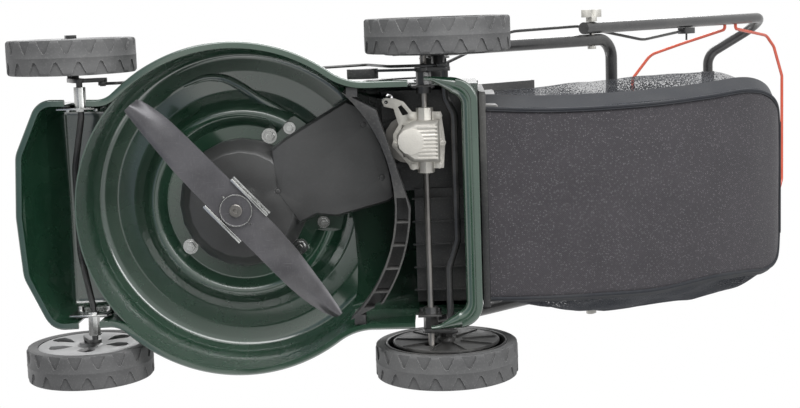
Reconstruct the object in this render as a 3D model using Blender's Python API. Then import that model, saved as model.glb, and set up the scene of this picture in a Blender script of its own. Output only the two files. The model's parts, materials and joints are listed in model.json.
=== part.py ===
"""Self-propelled rotary lawn mower: pressed steel deck, petrol engine, geared rear axle and grass bag."""

from math import atan2, cos, hypot, pi, radians, sin, tan

import bmesh
import bpy
from mathutils import Matrix, Vector

for item in list(bpy.data.objects):
    bpy.data.objects.remove(item, do_unlink=True)

# Driving sizes in metres. x runs forward from the blade centre, y to the left, z up from the ground.
GAP = 0.0003
SHEET = 0.002
RIM_Z = 0.028
FLANGE_HIGH = 0.006
FLANGE_WIDE = 0.007
SKIRT_TOP = 0.118
PLATE_Z = 0.122
CHAMBER_R = 0.221
FRONT_X = 0.3035
REAR_X = -0.334
HOOD_HALF = 0.160
HOOD_TOP = 0.240
MOUTH_HALF = 0.126
MOUTH_Z = (0.128, 0.220)
BLADE_Z = 0.035
BLADE_LONG = 0.406
BLADE_WIDE = 0.048
BLADE_THICK = 0.003
BLADE_TURN = radians(47.2)
BELT_Z = 0.1085
SHAFT_X = -0.2615
SHAFT_Z = 0.075
SHAFT_R = 0.0045
GEARBOX_Y = 0.0845
PULLEY_X = -0.238
REAR_R = 0.1016
FRONT_R = 0.0889
TYRE_WIDE = 0.048
REAR_TRACK = 0.4585
FRONT_TRACK = 0.432
REAR_AXLE_X = SHAFT_X - 0.0205
FRONT_ROD_X = 0.2115
FRONT_ROD_Z = 0.0595
FRONT_AXLE_X = FRONT_ROD_X + 0.0155
TUBE_R = 0.0098
LOWER_Y = 0.2035
UPPER_Y = LOWER_Y + 2 * TUBE_R + 2 * GAP
FOLD_X = -0.535
FOLD_Z = 0.493
WHEEL_SIDES = 26
FACET = 1 / cos(pi / WHEEL_SIDES)
BAIL_R = 0.0030
BAIL_BACK = -0.970
MIDDLE_X = (FRONT_AXLE_X + FRONT_R * FACET + BAIL_BACK - BAIL_R) / 2

mower = bpy.data.objects.new("mower", None)
bpy.context.collection.objects.link(mower)
mower.location = (-MIDDLE_X, 0, 0)


def finish(name, colour, roughness, metallic=0.0):
    made = bpy.data.materials.new(name)
    made.use_nodes = True
    shader = made.node_tree.nodes["Principled BSDF"]
    shader.inputs["Base Color"].default_value = (*colour, 1)
    shader.inputs["Roughness"].default_value = roughness
    shader.inputs["Metallic"].default_value = metallic
    made.diffuse_color = (*colour, 1)
    return made


FINISHES = {
    "green": ((0.018, 0.055, 0.032), 0.25, 0.0),
    "black_plastic": ((0.030, 0.030, 0.031), 0.45, 0.0),
    "black_paint": ((0.020, 0.020, 0.021), 0.35, 0.0),
    "blade_steel": ((0.060, 0.058, 0.064), 0.40, 0.3),
    "zinc": ((0.60, 0.60, 0.60), 0.30, 1.0),
    "bright_steel": ((0.45, 0.45, 0.46), 0.30, 1.0),
    "cast_alloy": ((0.50, 0.49, 0.47), 0.50, 0.8),
    "tyre": ((0.105, 0.105, 0.105), 0.80, 0.0),
    "wheel_plastic": ((0.150, 0.150, 0.152), 0.50, 0.0),
    "rubber": ((0.025, 0.025, 0.025), 0.75, 0.0),
    "fabric": ((0.060, 0.060, 0.062), 0.90, 0.0),
    "red": ((0.62, 0.10, 0.05), 0.40, 0.0),
    "grey_plastic": ((0.42, 0.41, 0.39), 0.50, 0.0),
    "white_ceramic": ((0.75, 0.75, 0.72), 0.30, 0.0),
}


def show(piece, colour, origin=(0, 0, 0), smooth=35):
    """Puts the piece under the mower empty with its origin at the given point, in its own material."""
    settle(piece)
    piece.data.transform(Matrix.Translation(-Vector(origin)))
    piece.location = origin
    piece.parent = mower
    piece.data.materials.clear()
    piece.data.materials.append(finish(piece.name, *FINISHES[colour]))
    piece.data.shade_smooth()
    piece.data.set_sharp_from_angle(angle=radians(smooth))
    return piece


def mesh_object(name, mesh):
    made = bpy.data.objects.new(name, mesh)
    bpy.context.collection.objects.link(made)
    return made


def from_bmesh(name, form):
    bmesh.ops.recalc_face_normals(form, faces=form.faces)
    mesh = bpy.data.meshes.new(name)
    form.to_mesh(mesh)
    form.free()
    return mesh_object(name, mesh)


def stack(name, rings):
    """A closed body through rings of equally many points, with a flat cap at each end."""
    form = bmesh.new()
    rows = [[form.verts.new(point) for point in ring] for ring in rings]
    count = len(rows[0])
    for low, high in zip(rows, rows[1:]):
        for i in range(count):
            j = (i + 1) % count
            form.faces.new((low[i], low[j], high[j], high[i]))
    form.faces.new(rows[0][::-1])
    form.faces.new(rows[-1])
    return from_bmesh(name, form)


def level(outline, z):
    return [(x, y, z) for x, y in outline]


def prism(name, outline, low, high):
    return stack(name, [level(outline, low), level(outline, high)])


def side_prism(name, outline, low, high):
    """A prism along y from an outline of (x, z) points."""
    return stack(name, [[(x, y, z) for x, z in outline] for y in (low, high)])


def box(name, low, high):
    outline = [(low[0], low[1]), (high[0], low[1]), (high[0], high[1]), (low[0], high[1])]
    return prism(name, outline, low[2], high[2])


def inset(outline, distance):
    """The anticlockwise outline moved inwards by the distance."""
    moved = []
    count = len(outline)
    for i, (x, y) in enumerate(outline):
        before = Vector(outline[i - 1])
        after = Vector(outline[(i + 1) % count])
        here = Vector((x, y))
        first = (here - before).normalized()
        second = (after - here).normalized()
        normal = Vector((-first.y - second.y, first.x + second.x)).normalized()
        reach = distance / max(0.5, normal.dot(Vector((-first.y, first.x))))
        moved.append((x + normal.x * reach, y + normal.y * reach))
    return moved


def rounded(corners, steps=4):
    """The closed outline through corners (x, y, radius), with each corner turned into an arc."""
    points = []
    count = len(corners)
    for i, (x, y, radius) in enumerate(corners):
        here = Vector((x, y))
        to_last = Vector(corners[i - 1][:2]) - here
        to_next = Vector(corners[(i + 1) % count][:2]) - here
        turn = to_last.angle(to_next)
        if radius == 0 or turn > radians(179):
            points.append((x, y))
            continue
        back = radius / tan(turn / 2)
        start = here + to_last.normalized() * back
        end = here + to_next.normalized() * back
        centre = here + (to_last.normalized() + to_next.normalized()).normalized() * radius / sin(turn / 2)
        first = atan2(start.y - centre.y, start.x - centre.x)
        sweep = (atan2(end.y - centre.y, end.x - centre.x) - first + pi) % (2 * pi) - pi
        for k in range(steps + 1):
            angle = first + sweep * k / steps
            points.append((centre.x + radius * cos(angle), centre.y + radius * sin(angle)))
    return points


def arc(radius, start, end, steps, centre=(0, 0)):
    """Points on a circle from one angle in degrees to another."""
    angles = [radians(start + (end - start) * k / steps) for k in range(steps + 1)]
    return [(centre[0] + radius * cos(a), centre[1] + radius * sin(a)) for a in angles]


def circle(radius, sides, centre=(0, 0)):
    return arc(radius, 0, 360 * (sides - 1) / sides, sides - 1, centre)


def sides_for(radius):
    """How many sides a round form of this radius gets."""
    steps = ((0.0035, 6), (0.0125, 8), (0.0250, 12), (0.0600, 16), (0.1000, 20))
    for most, sides in steps:
        if radius <= most:
            return sides
    return 32


def turned(name, profile, centre=(0, 0, 0), axis="Z", sides=0):
    """A profile of (radius, height) points spun a full turn about an axis through the centre."""
    sides = sides or sides_for(max(radius for radius, height in profile))
    form = bmesh.new()
    points = [form.verts.new((radius, 0, height)) for radius, height in profile]
    edges = [form.edges.new((a, b)) for a, b in zip(points, points[1:])]
    if profile[0][0] > 0 or profile[-1][0] > 0:
        edges.append(form.edges.new((points[-1], points[0])))
    bmesh.ops.spin(form, geom=points + edges, axis=(0, 0, 1), cent=(0, 0, 0), steps=sides,
                   angle=2 * pi, use_merge=True)
    bmesh.ops.remove_doubles(form, verts=form.verts, dist=1e-6)
    turn = {"Z": Matrix(), "Y": Matrix.Rotation(-pi / 2, 4, "X"), "X": Matrix.Rotation(pi / 2, 4, "Y")}[axis]
    bmesh.ops.transform(form, matrix=Matrix.Translation(centre) @ turn, verts=form.verts)
    return from_bmesh(name, form)


def drum(name, radius, low, high, centre=(0, 0), axis="Z", sides=0):
    """A cylinder from low to high along the axis; centre holds the two other coordinates."""
    place = {"Z": (centre[0], centre[1], 0), "Y": (centre[0], 0, centre[1]), "X": (0, centre[0], centre[1])}
    profile = [(0, low), (radius, low), (radius, high), (0, high)]
    return turned(name, profile, place[axis], axis, sides)


def path(corners, steps=4):
    """Points along a line through corners (x, y, z, radius), with each inner corner turned into an arc."""
    points = [Vector(corners[0][:3])]
    for last, this, following in zip(corners, corners[1:], corners[2:]):
        here = Vector(this[:3])
        to_last = (Vector(last[:3]) - here).normalized()
        to_next = (Vector(following[:3]) - here).normalized()
        turn = to_last.angle(to_next)
        back = this[3] / tan(turn / 2)
        middle = (to_last + to_next).normalized()
        centre = here + middle * this[3] / sin(turn / 2)
        from_centre = here + to_last * back - centre
        swing = Vector(to_next).cross(to_last).normalized()
        for k in range(steps + 1):
            part = (pi - turn) * k / steps
            points.append(centre + Matrix.Rotation(part, 3, swing) @ from_centre)
    points.append(Vector(corners[-1][:3]))
    return points


def tube(name, points, radius, sides=12):
    """A round bar along the points with flat ends."""
    form = bmesh.new()
    spots = [Vector(point) for point in points]
    ahead = (spots[1] - spots[0]).normalized()
    across = ahead.orthogonal().normalized()
    rows = []
    for i, spot in enumerate(spots):
        before = (spot - spots[i - 1]).normalized() if i else ahead
        after = (spots[i + 1] - spot).normalized() if i + 1 < len(spots) else before
        along = (before + after).normalized()
        across = (across - along * across.dot(along)).normalized()
        sideways = along.cross(across)
        stretch = 1 / max(0.5, along.dot(before))
        tilt = (after - before)
        row = []
        for k in range(sides):
            angle = 2 * pi * k / sides
            out = across * cos(angle) + sideways * sin(angle)
            if tilt.length > 1e-6:
                lean = tilt.normalized()
                out += lean * out.dot(lean) * (stretch - 1)
            row.append(form.verts.new(spot + out * radius))
        rows.append(row)
    for low, high in zip(rows, rows[1:]):
        for i in range(sides):
            j = (i + 1) % sides
            form.faces.new((low[i], low[j], high[j], high[i]))
    form.faces.new(rows[0][::-1])
    form.faces.new(rows[-1])
    return from_bmesh(name, form)


def bore(name, radius, low, high, centre=(0, 0), axis="Z"):
    """A cutter whose flats, not its corners, lie at the radius, so that a round piece clears them."""
    return drum(name, radius / cos(pi / sides_for(radius)), low, high, centre, axis, sides_for(radius))


def boolean(target, tool, operation):
    change = target.modifiers.new(f"{operation} {tool.name}", "BOOLEAN")
    change.operation = operation
    change.solver = "EXACT"
    change.object = tool
    tool.hide_render = True
    tool.display_type = "WIRE"
    return target


def cut(target, *tools):
    for tool in tools:
        boolean(target, tool, "DIFFERENCE")
    return target


def join(target, *tools):
    for tool in tools:
        boolean(target, tool, "UNION")
    return target


def settle(piece):
    """Works out the Booleans of a piece and removes the helpers, so that it can be moved or used again."""
    tools = [change.object for change in piece.modifiers]
    graph = bpy.context.evaluated_depsgraph_get()
    mesh = bpy.data.meshes.new_from_object(piece.evaluated_get(graph))
    piece.modifiers.clear()
    piece.data = mesh
    for tool in tools:
        bpy.data.objects.remove(tool, do_unlink=True)
    return piece


# The pressed deck: a skirt with a rolled flange, a round blade chamber, a sunken engine plate and a rear hood.
half_rim = [(FRONT_X, 0, 0), (0.2985, 0.085, 0.04), (0.2640, 0.1600, 0.030), (0.171, 0.1575, 0.03)]
half_rim += [(x, y, 0) for x, y in arc(0.2305, 50, 125, 7)]
half_rim += [(-0.1576, 0.171, 0.08), (REAR_X, 0.171, 0.032)]
other_half = [(x, -y, radius) for x, y, radius in reversed(half_rim) if y > 0]
RIM = rounded(half_rim + other_half, 2)
SKIRT = [(0, 0.030), (0, 0.100), (0.0045, 0.1125), (0.018, SKIRT_TOP)]
CEILING = [(0, PLATE_Z), (0.1125, PLATE_Z), (0.1215, 0.110), (0.128, 0.107), (0.1345, 0.110), (0.152, 0.1255)]
CEILING += [(0.180, 0.138), (0.202, 0.134), (0.2165, 0.117)]
BELT_BAY = [(-0.04, 0.085), (-0.070, 0.118), (-0.153, 0.152), (-0.19, 0.09), (-0.212, -0.006), (-0.134, -0.044)]
BELT_BAY += [(-0.05, -0.04)]


def hood(shrink, drop, front_low):
    """The side outline of the rear hood; drop lowers its top edges."""
    top = HOOD_TOP - shrink - drop
    return [(-0.140 - 0.8 * shrink - drop / 2, front_low), (-0.140 - 0.8 * shrink - drop / 2, 0.119 - shrink / 2),
            (-0.165 - 0.8 * shrink - drop / 2, 0.150 - 0.8 * shrink - drop / 2),
            (-0.232 - 0.5 * shrink, top - 0.010), (-0.252, top), (-0.336 + shrink, top)]


deck = stack("deck", [level(inset(RIM, FLANGE_WIDE + a), z) for a, z in SKIRT])
cut(deck, drum("trough", 0.205, 0.09, 0.13))
raised = [(r, z + SHEET) for r, z in CEILING] + [(CHAMBER_R + SHEET, 0.100), (CHAMBER_R + SHEET, 0.06), (0, 0.06)]
join(deck, turned("chamber_outside", raised))
join(deck, prism("belt_bay_outside", inset(BELT_BAY, -SHEET), 0.06, PLATE_Z + SHEET))
hood_rows = [(-HOOD_HALF, 0.006), (0.007 - HOOD_HALF, 0)]
hood_rows += [(-y, drop) for y, drop in reversed(hood_rows)]
hood_rings = [[(x, y, z) for x, z in hood(0, drop, 0.100) + [(-0.336, 0.100)]] for y, drop in hood_rows]
join(deck, stack("hood_outside", hood_rings))
flange = [(0.0015, RIM_Z), (0, RIM_Z + 0.0015), (0, RIM_Z + 0.0045), (0.0015, RIM_Z + FLANGE_HIGH)]
join(deck, stack("rolled_flange", [level(inset(RIM, a), z) for a, z in flange]))
inner_rim = inset(RIM, FLANGE_WIDE + SHEET)
bay = stack("front_bay", [level(inset(inner_rim, a), z - SHEET) for a, z in SKIRT])
cut(bay, drum("front_wall", CHAMBER_R + SHEET, 0, 0.2), box("front_half", (-0.4, -0.3, 0), (0.02, 0.3, 0.2)))
cut(deck, settle(bay))
rear_bay = stack("rear_bay", [level(inset(inner_rim, a), z - SHEET) for a, z in SKIRT])
cut(rear_bay, box("fore_part", (-0.06, -0.3, 0), (0.4, 0.3, 0.2)), drum("round_part", 0.205, 0, 0.2))
cut(deck, settle(rear_bay))
chamber = CEILING + [(CHAMBER_R, 0.099), (CHAMBER_R, 0.01), (0, 0.01)]
cut(deck, turned("chamber_inside", chamber))
cut(deck, prism("low_bay", inner_rim, 0.01, RIM_Z + 0.008))
cut(deck, prism("belt_bay_inside", BELT_BAY, 0.05, PLATE_Z))
inner_rings = [[(x, y * 0.158 / HOOD_HALF, z) for x, z in
                hood(SHEET, drop, 0.060) + [(-0.334, 0.102), (-0.325, 0.102), (-0.325, 0.060)]]
               for y, drop in hood_rows]
cut(deck, stack("hood_inside", inner_rings))
cut(deck, box("mouth", (-0.34, -MOUTH_HALF, MOUTH_Z[0]), (-0.33, MOUTH_HALF, MOUTH_Z[1])))
cut(deck, bore("crank_hole", 0.045, 0.10, 0.14))
for side in (-1, 1):
    cut(deck, box("front_notch", (0.1965, min(side * 0.14, side * 0.2), 0.01),
                  (0.2265, max(side * 0.14, side * 0.2), 0.070)))
    cut(deck, box("rear_notch", (-0.305, min(side * 0.158, side * 0.2), 0.01),
                  (-0.2405, max(side * 0.158, side * 0.2), 0.0865)))
BOLT_R = 0.1016
BOLT_ANGLES = (113.1, -37.5, -139.3)
BOLTS = [(BOLT_R * cos(radians(a)), BOLT_R * sin(radians(a))) for a in BOLT_ANGLES]
for spot in BOLTS:
    cut(deck, bore("bolt_hole", 0.0045, 0.11, 0.13, spot))
GUARD_STUDS = ((-0.069, 0.104), (-0.112, -0.032))
for spot in GUARD_STUDS:
    join(deck, drum("guard_stud", 0.0030, 0.1125, PLATE_Z + 0.001, spot))
    join(deck, prism("guard_nut", circle(0.0060, 6, spot), 0.1150, PLATE_Z + 0.001))
CABLE_HOLE = (-0.209, 0.139)
cut(deck, bore("cable_hole", 0.005, 0.15, 0.25, CABLE_HOLE))

# The spring-held flap over the grass mouth, lying on the front of the bag.
FLAP_X = -0.338
FLAP_Z = 0.2475
FLAP_LEAN = radians(40)
FLAP_LONG = 0.115
flap_side = [(0, -0.0015), (FLAP_LONG, -0.0015), (FLAP_LONG + 0.004, -0.008), (FLAP_LONG + 0.006, -0.007),
             (FLAP_LONG + 0.002, 0.0015), (0, 0.0015)]
flap = side_prism("discharge_flap", [(FLAP_X - x * cos(FLAP_LEAN) - z * sin(FLAP_LEAN),
                                      FLAP_Z + x * sin(FLAP_LEAN) - z * cos(FLAP_LEAN))
                                     for x, z in flap_side], -0.150, 0.150)
join(flap, drum("flap_roll", 0.0055, -0.150, 0.150, (FLAP_X, FLAP_Z), "Y"))
for side in (-1, 1):
    middle = side * 0.07
    cut(flap, box("hinge_gap", (FLAP_X - 0.012, middle - 0.0125, FLAP_Z - 0.01),
                  (FLAP_X + 0.01, middle + 0.0125, FLAP_Z + 0.012)))
cut(flap, bore("hinge_bore", 0.0023, -0.16, 0.16, (FLAP_X, FLAP_Z), "Y"))
show(flap, "green", (FLAP_X, 0, FLAP_Z))

hinge = drum("hinge_rod", 0.0020, -0.156, 0.156, (FLAP_X, FLAP_Z), "Y")
for side in (-1, 1):
    middle = side * 0.07
    join(hinge, box("hinge_ear", (FLAP_X - 0.004, middle - 0.0115, HOOD_TOP - 0.001),
                    (FLAP_X + 0.012, middle + 0.0115, FLAP_Z + 0.004)))
    join(hinge, box("hinge_foot", (FLAP_X + 0.008, middle - 0.0115, HOOD_TOP - 0.001),
                    (FLAP_X + 0.030, middle + 0.0115, HOOD_TOP + 0.0025)))
join(deck, settle(hinge))

# The black plastic grass duct: a ribbed floor with a raised left part over the belt, and two side walls.
DUCT_FRONT = -0.243
duct = box("grass_duct", (-0.3335, -0.1515, 0.1200), (DUCT_FRONT, 0.0115, 0.1225))
join(duct, box("left_floor", (-0.3335, 0.0095, 0.1245), (-0.2000, 0.1515, 0.1270)))
join(duct, box("step_wall", (-0.3335, 0.0095, 0.1200), (DUCT_FRONT, 0.0120, 0.1270)))
join(duct, box("right_wall", (-0.3335, -0.1515, 0.1200), (DUCT_FRONT, -0.1490, 0.2150)))
join(duct, box("left_wall", (-0.3335, 0.1490, 0.1245), (DUCT_FRONT, 0.1515, 0.2150)))
for i in range(5):
    rib = -0.134 + 0.033 * i
    join(duct, box("floor_rib", (-0.3220, rib - 0.001, 0.1150), (DUCT_FRONT + 0.004, rib + 0.001, 0.1205)))
cut(duct, drum("spring_passage", 0.009, 0.12, 0.13, CABLE_HOLE))
show(duct, "black_plastic")

# The ribbed ring that closes the back of the blade chamber.
RING_IN = 0.2180
RING_BACK = 0.2365
back_edge = arc(RING_BACK + 0.0025, 214, 181, 6) + [(-0.196, 0.132)]
ring_plan = arc(RING_IN, 134, 226, 16) + back_edge
RING_LOW = RIM_Z + 0.004
ring = prism("chamber_ring", ring_plan, RING_LOW, 0.060)
wall_plan = arc(RING_IN, 134, 184, 9) + arc(RING_IN + 0.0025, 184, 134, 9)
join(ring, prism("ring_wall", wall_plan, 0.050, 0.090 - GAP))
pockets = [0.012, -0.023, -0.055, -0.087, -0.119, -0.141]
for high, low in zip(pockets, pockets[1:]):
    tops = [(-(((RING_IN + 0.0025) ** 2 - y * y) ** 0.5), y) for y in (high - 0.001, (high + low) / 2, low + 0.001)]
    ends = [(-((RING_BACK ** 2 - y * y) ** 0.5), y) for y in (low + 0.001, (high + low) / 2, high - 0.001)]
    if high > 0:
        ends[-1] = (-0.2330, high - 0.001)
    cut(ring, prism("pocket", tops + ends, 0.02, 0.0575))
for side in (-1, 1):
    foot = box("ring_foot", (-0.172, min(side * 0.150, side * 0.1632), RING_LOW),
               (-0.157, max(side * 0.150, side * 0.1632), 0.060))
    join(ring, foot)
show(ring, "black_plastic")

# The belt cover: a round tray under the crank pulley with a wedge that runs back to the ring.
COVER_LOW = 0.090
COVER_TOP = PLATE_Z - GAP
cover = turned("belt_cover", [(0, COVER_LOW), (0.074, COVER_LOW), (0.079, 0.094), (0.090, 0.113),
                              (0.092, 0.117), (0.092, COVER_TOP), (0, COVER_TOP)])
wedge = [(-0.043, 0.076), (-0.066, 0.093), (-0.152, 0.143)] + arc(0.2165, 141, 179, 7)
wedge += [(-0.206, -0.003), (-0.134, -0.0215), (-0.106, -0.0180), (-0.080, -0.030), (-0.048, 0.015)]
join(cover, stack("cover_wedge", [level(inset(wedge, 0.004), COVER_LOW - 0.0005), level(inset(wedge, 0.0008), 0.0945),
                                  level(wedge, 0.100), level(wedge, COVER_TOP)]))
hollow = turned("cover_hollow", [(0, 0.0932), (0.072, 0.0932), (0.0865, 0.1145), (0.0865, 0.1190), (0, 0.1190)])
join(hollow, prism("wedge_hollow", inset(wedge, 0.007), 0.0932, 0.1190))
cut(cover, settle(hollow))
cut(cover, drum("crank_opening", 0.062, 0.115, 0.125), drum("boss_opening", 0.0150, 0.08, 0.1))
cut(cover, box("belt_opening", (-0.225, 0.030, 0.0990), (-0.170, 0.112, 0.1190)))
for spot in ((-0.0520, 0.018), (-0.176, 0.108), (-0.199, 0.033)):
    cut(cover, drum("screw_recess", 0.005, 0.08, COVER_LOW + 0.001, spot))
    join(cover, drum("screw_head", 0.0035, COVER_LOW - 0.001, COVER_LOW + 0.002, spot))
show(cover, "black_plastic")

# The blade, turned from the mower's axis as it stands, with a wing raised along each trailing edge.
BOSS_TOP = BLADE_Z + BLADE_THICK + GAP
along = Vector((cos(BLADE_TURN), sin(BLADE_TURN), 0))
across = Vector((-sin(BLADE_TURN), cos(BLADE_TURN), 0))
half = BLADE_LONG / 2
WING_HIGH = 0.013
rows = []
for place, lift, near in ((-half, 1, 0.6), (-0.185, 1, 0.8), (-0.165, 0.8, 1), (-0.145, 0.2, 1), (-0.130, 0, 1),
                          (0.130, 0, 1), (0.145, 0.2, 1), (0.165, 0.8, 1), (0.185, 1, 0.8), (half, 1, 0.6)):
    rise = WING_HIGH * lift
    trailing = BLADE_WIDE / 2 * near
    wide = [-BLADE_WIDE / 2, -0.006, 0.006, trailing] if place > 0 else [-trailing, -0.006, 0.006, BLADE_WIDE / 2]
    rises = [0, 0, 0, rise] if place > 0 else [rise, 0, 0, 0]
    under = [along * place + across * u + Vector((0, 0, BLADE_Z + up)) for u, up in zip(wide, rises)]
    over = [point + Vector((0, 0, BLADE_THICK)) for point in under]
    rows.append(under + over[::-1])
blade = stack("blade", rows)
cut(blade, bore("bolt_bore", 0.0052, 0.02, 0.06))
for side in (-1, 1):
    spot = across * 0.0 + along * side * 0.017
    cut(blade, bore("key_hole", 0.0022, 0.02, 0.06, (spot.x, spot.y)))
show(blade, "blade_steel")

# The zinc blade carrier: a folded plate whose two edges grip the blade.
def blade_box(name, u, v, w):
    """A box aligned with the blade: u along it, v across it and w in height."""
    corners = [along * a + across * b for a, b in ((u[0], v[0]), (u[1], v[0]), (u[1], v[1]), (u[0], v[1]))]
    return prism(name, [(c.x, c.y) for c in corners], w[0], w[1])


CARRIER_HALF = BLADE_WIDE / 2
carrier = blade_box("blade_carrier", (-0.034, 0.034), (-CARRIER_HALF - 0.002, CARRIER_HALF + 0.002),
                    (BOSS_TOP, BOSS_TOP + 0.003))
for side in (-1, 1):
    edge = sorted((side * (CARRIER_HALF + GAP), side * (CARRIER_HALF + 0.0042)))
    join(carrier, blade_box("carrier_lip", (-0.0345, 0.0345), edge, (BLADE_Z - 0.0035, BOSS_TOP + 0.0025)))
CRANK_R = 0.0111
join(carrier, drum("carrier_hub", 0.0145, BOSS_TOP + 0.001, 0.0945))
cut(carrier, bore("hub_bore", CRANK_R + GAP, BOSS_TOP + 0.008, 0.12), bore("bolt_bore", 0.0052, 0.02, 0.06))
show(carrier, "zinc")

blade_bolt = drum("blade_bolt", 0.0048, BLADE_Z - 0.001, BOSS_TOP + 0.026)
join(blade_bolt, turned("blade_washer", [(0, BLADE_Z - 0.003), (0.019, BLADE_Z - 0.003), (0.0195, BLADE_Z - GAP),
                                         (0, BLADE_Z - GAP)]))
join(blade_bolt, prism("bolt_head", circle(0.0085, 6), BLADE_Z - 0.0095, BLADE_Z - 0.002))
show(blade_bolt, "blade_steel")

# The crankshaft with its drive pulley and flywheel.
BASE_Z = PLATE_Z + SHEET + GAP
shaft_line = [(0.0055, BOSS_TOP + 0.0085), (CRANK_R, BOSS_TOP + 0.0085), (CRANK_R, 0.0955), (0.040, 0.0960)]
shaft_line += [(0.040, 0.0985), (0.029, 0.1045), (0.029, 0.1125), (0.040, 0.1165), (0.040, 0.1185), (0.0125, 0.1190)]
shaft_line += [(0.0125, 0.2050), (0.070, 0.2055), (0.078, 0.2080), (0.078, 0.2130), (0.030, 0.2150), (0.030, 0.2230)]
shaft_line += [(0, 0.2230), (0, BOSS_TOP + 0.0300), (0.0055, BOSS_TOP + 0.0300)]
crank = turned("crankshaft", shaft_line)
for i in range(8):
    angle = radians(45 * i)
    out = Vector((cos(angle), sin(angle)))
    side_step = Vector((-out.y, out.x)) * 0.0011
    fin = [out * 0.045 - side_step, out * 0.0745 - side_step, out * 0.0745 + side_step, out * 0.045 + side_step]
    join(crank, prism("fan_fin", [(c.x, c.y) for c in fin], 0.2110, 0.2280))
show(crank, "bright_steel")

# The engine: an alloy crankcase with a forward cylinder.
CASE_TOP = 0.198
engine = turned("engine_block", [(0, BASE_Z), (0.086, BASE_Z), (0.088, BASE_Z + 0.008), (0.079, BASE_Z + 0.010),
                                 (0.076, CASE_TOP - 0.006), (0.070, CASE_TOP), (0, CASE_TOP)])
for spot in BOLTS:
    join(engine, drum("engine_foot", 0.0165, BASE_Z, BASE_Z + 0.009, spot))
join(engine, box("cylinder", (0.04, -0.036, 0.141), (0.150, 0.036, 0.194)))
for i in range(6):
    start = 0.086 + 0.0105 * i
    join(engine, box("cooling_fin", (start, -0.050, 0.137), (start + 0.0028, 0.050, 0.1965)))
join(engine, box("cylinder_head", (0.1485, -0.046, 0.140), (0.168, 0.046, 0.196)))
FILLER = (-0.055, 0.100)
join(engine, box("filler_web", (-0.063, 0.050, 0.152), (-0.047, 0.098, 0.180)))
join(engine, drum("oil_filler", 0.0120, 0.150, 0.212, FILLER))
cut(engine, bore("filler_bore", 0.0080, 0.170, 0.22, FILLER), bore("stick_bore", 0.0040, 0.153, 0.18, FILLER))
cut(engine, bore("shaft_bore", 0.0125 + GAP, 0.11, 0.21))
for spot in BOLTS:
    cut(engine, bore("bolt_hole", 0.0045, 0.11, 0.14, spot))
PLUG = (0.0, 0.168)
cut(engine, bore("plug_bore", 0.0055, 0.152, 0.18, PLUG, "X"))
show(engine, "cast_alloy")

for i, spot in enumerate(BOLTS):
    shank = drum(f"engine_bolt_{i + 1}", 0.0040, 0.1105, BASE_Z + 0.012, spot)
    join(shank, prism("nut", circle(0.0078, 6, spot), 0.1135, PLATE_Z - 0.0015))
    join(shank, drum("washer", 0.0090, PLATE_Z - 0.0020, PLATE_Z - GAP, spot))
    join(shank, prism("head", circle(0.0078, 6, spot), BASE_Z + 0.009 + GAP, BASE_Z + 0.015))
    show(shank, "zinc")

# The plastic cowl over the flywheel, with air slots and the starter guide.
COWL_TOP = 0.262
cowl = turned("engine_cowl", [(0.0135, 0.2000), (0.0700, 0.2000), (0.0700, CASE_TOP + GAP), (0.0980, CASE_TOP + GAP),
                              (0.0980, 0.232), (0.0900, 0.252), (0.0750, COWL_TOP), (0, COWL_TOP + 0.002),
                              (0, 0.2595), (0.0740, 0.2590), (0.0870, 0.2500), (0.0945, 0.2310), (0.0945, 0.2026),
                              (0.0135, 0.2026)])
for i in range(10):
    angle = radians(36 * i + 18)
    out = Vector((cos(angle), sin(angle)))
    side_step = Vector((-out.y, out.x)) * 0.0030
    slot = [out * 0.030 - side_step, out * 0.062 - side_step, out * 0.062 + side_step, out * 0.030 + side_step]
    cut(cowl, prism("air_slot", [(c.x, c.y) for c in slot], 0.255, 0.27))
join(cowl, box("starter_guide", (-0.086, -0.014, 0.245), (-0.060, 0.014, 0.2760)))
show(cowl, "black_plastic")

PULL = (-0.073, 0.0)
pull = drum("starter_handle", 0.0090, -0.045, 0.045, (PULL[0], 0.293), "Y")
join(pull, drum("pull_stem", 0.0060, 0.2760 + GAP, 0.290, PULL))
show(pull, "black_plastic", (PULL[0], PULL[1], 0.293))

# The fuel tank stands behind the cowl on the crankcase rim.
tank_plan = rounded([(-0.102, 0.084, 0.012), (-0.146, 0.084, 0.012), (-0.146, -0.084, 0.012), (-0.102, -0.084, 0.012)], 3)
tank = stack("fuel_tank", [level(inset(tank_plan, 0.005), 0.176), level(tank_plan, 0.182), level(tank_plan, 0.240),
                           level(inset(tank_plan, 0.006), 0.246)])
join(tank, box("tank_foot", (-0.112, -0.020, 0.174), (-0.0775, 0.020, 0.190)))
CAP = (-0.124, -0.045)
join(tank, drum("tank_neck", 0.0150, 0.240, 0.254, CAP))
cut(tank, drum("tank_inside", 0.0120, 0.200, 0.26, CAP))
show(tank, "black_plastic")

cap = turned("fuel_cap", [(0, 0.2450), (0.0110, 0.2450), (0.0110, 0.254 + GAP), (0.0210, 0.254 + GAP),
                          (0.0210, 0.2640), (0.0190, 0.2665), (0, 0.2665)], (*CAP, 0))
show(cap, "black_plastic", (*CAP, 0.254))

stick = turned("oil_dipstick", [(0, 0.156), (0.0026, 0.156), (0.0026, 0.196), (0.0072, 0.196), (0.0072, 0.212 + GAP),
                                (0.0145, 0.212 + GAP), (0.0145, 0.2200), (0.0120, 0.2220), (0, 0.2220)],
               (*FILLER, 0))
show(stick, "black_plastic", (*FILLER, 0.212))

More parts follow.
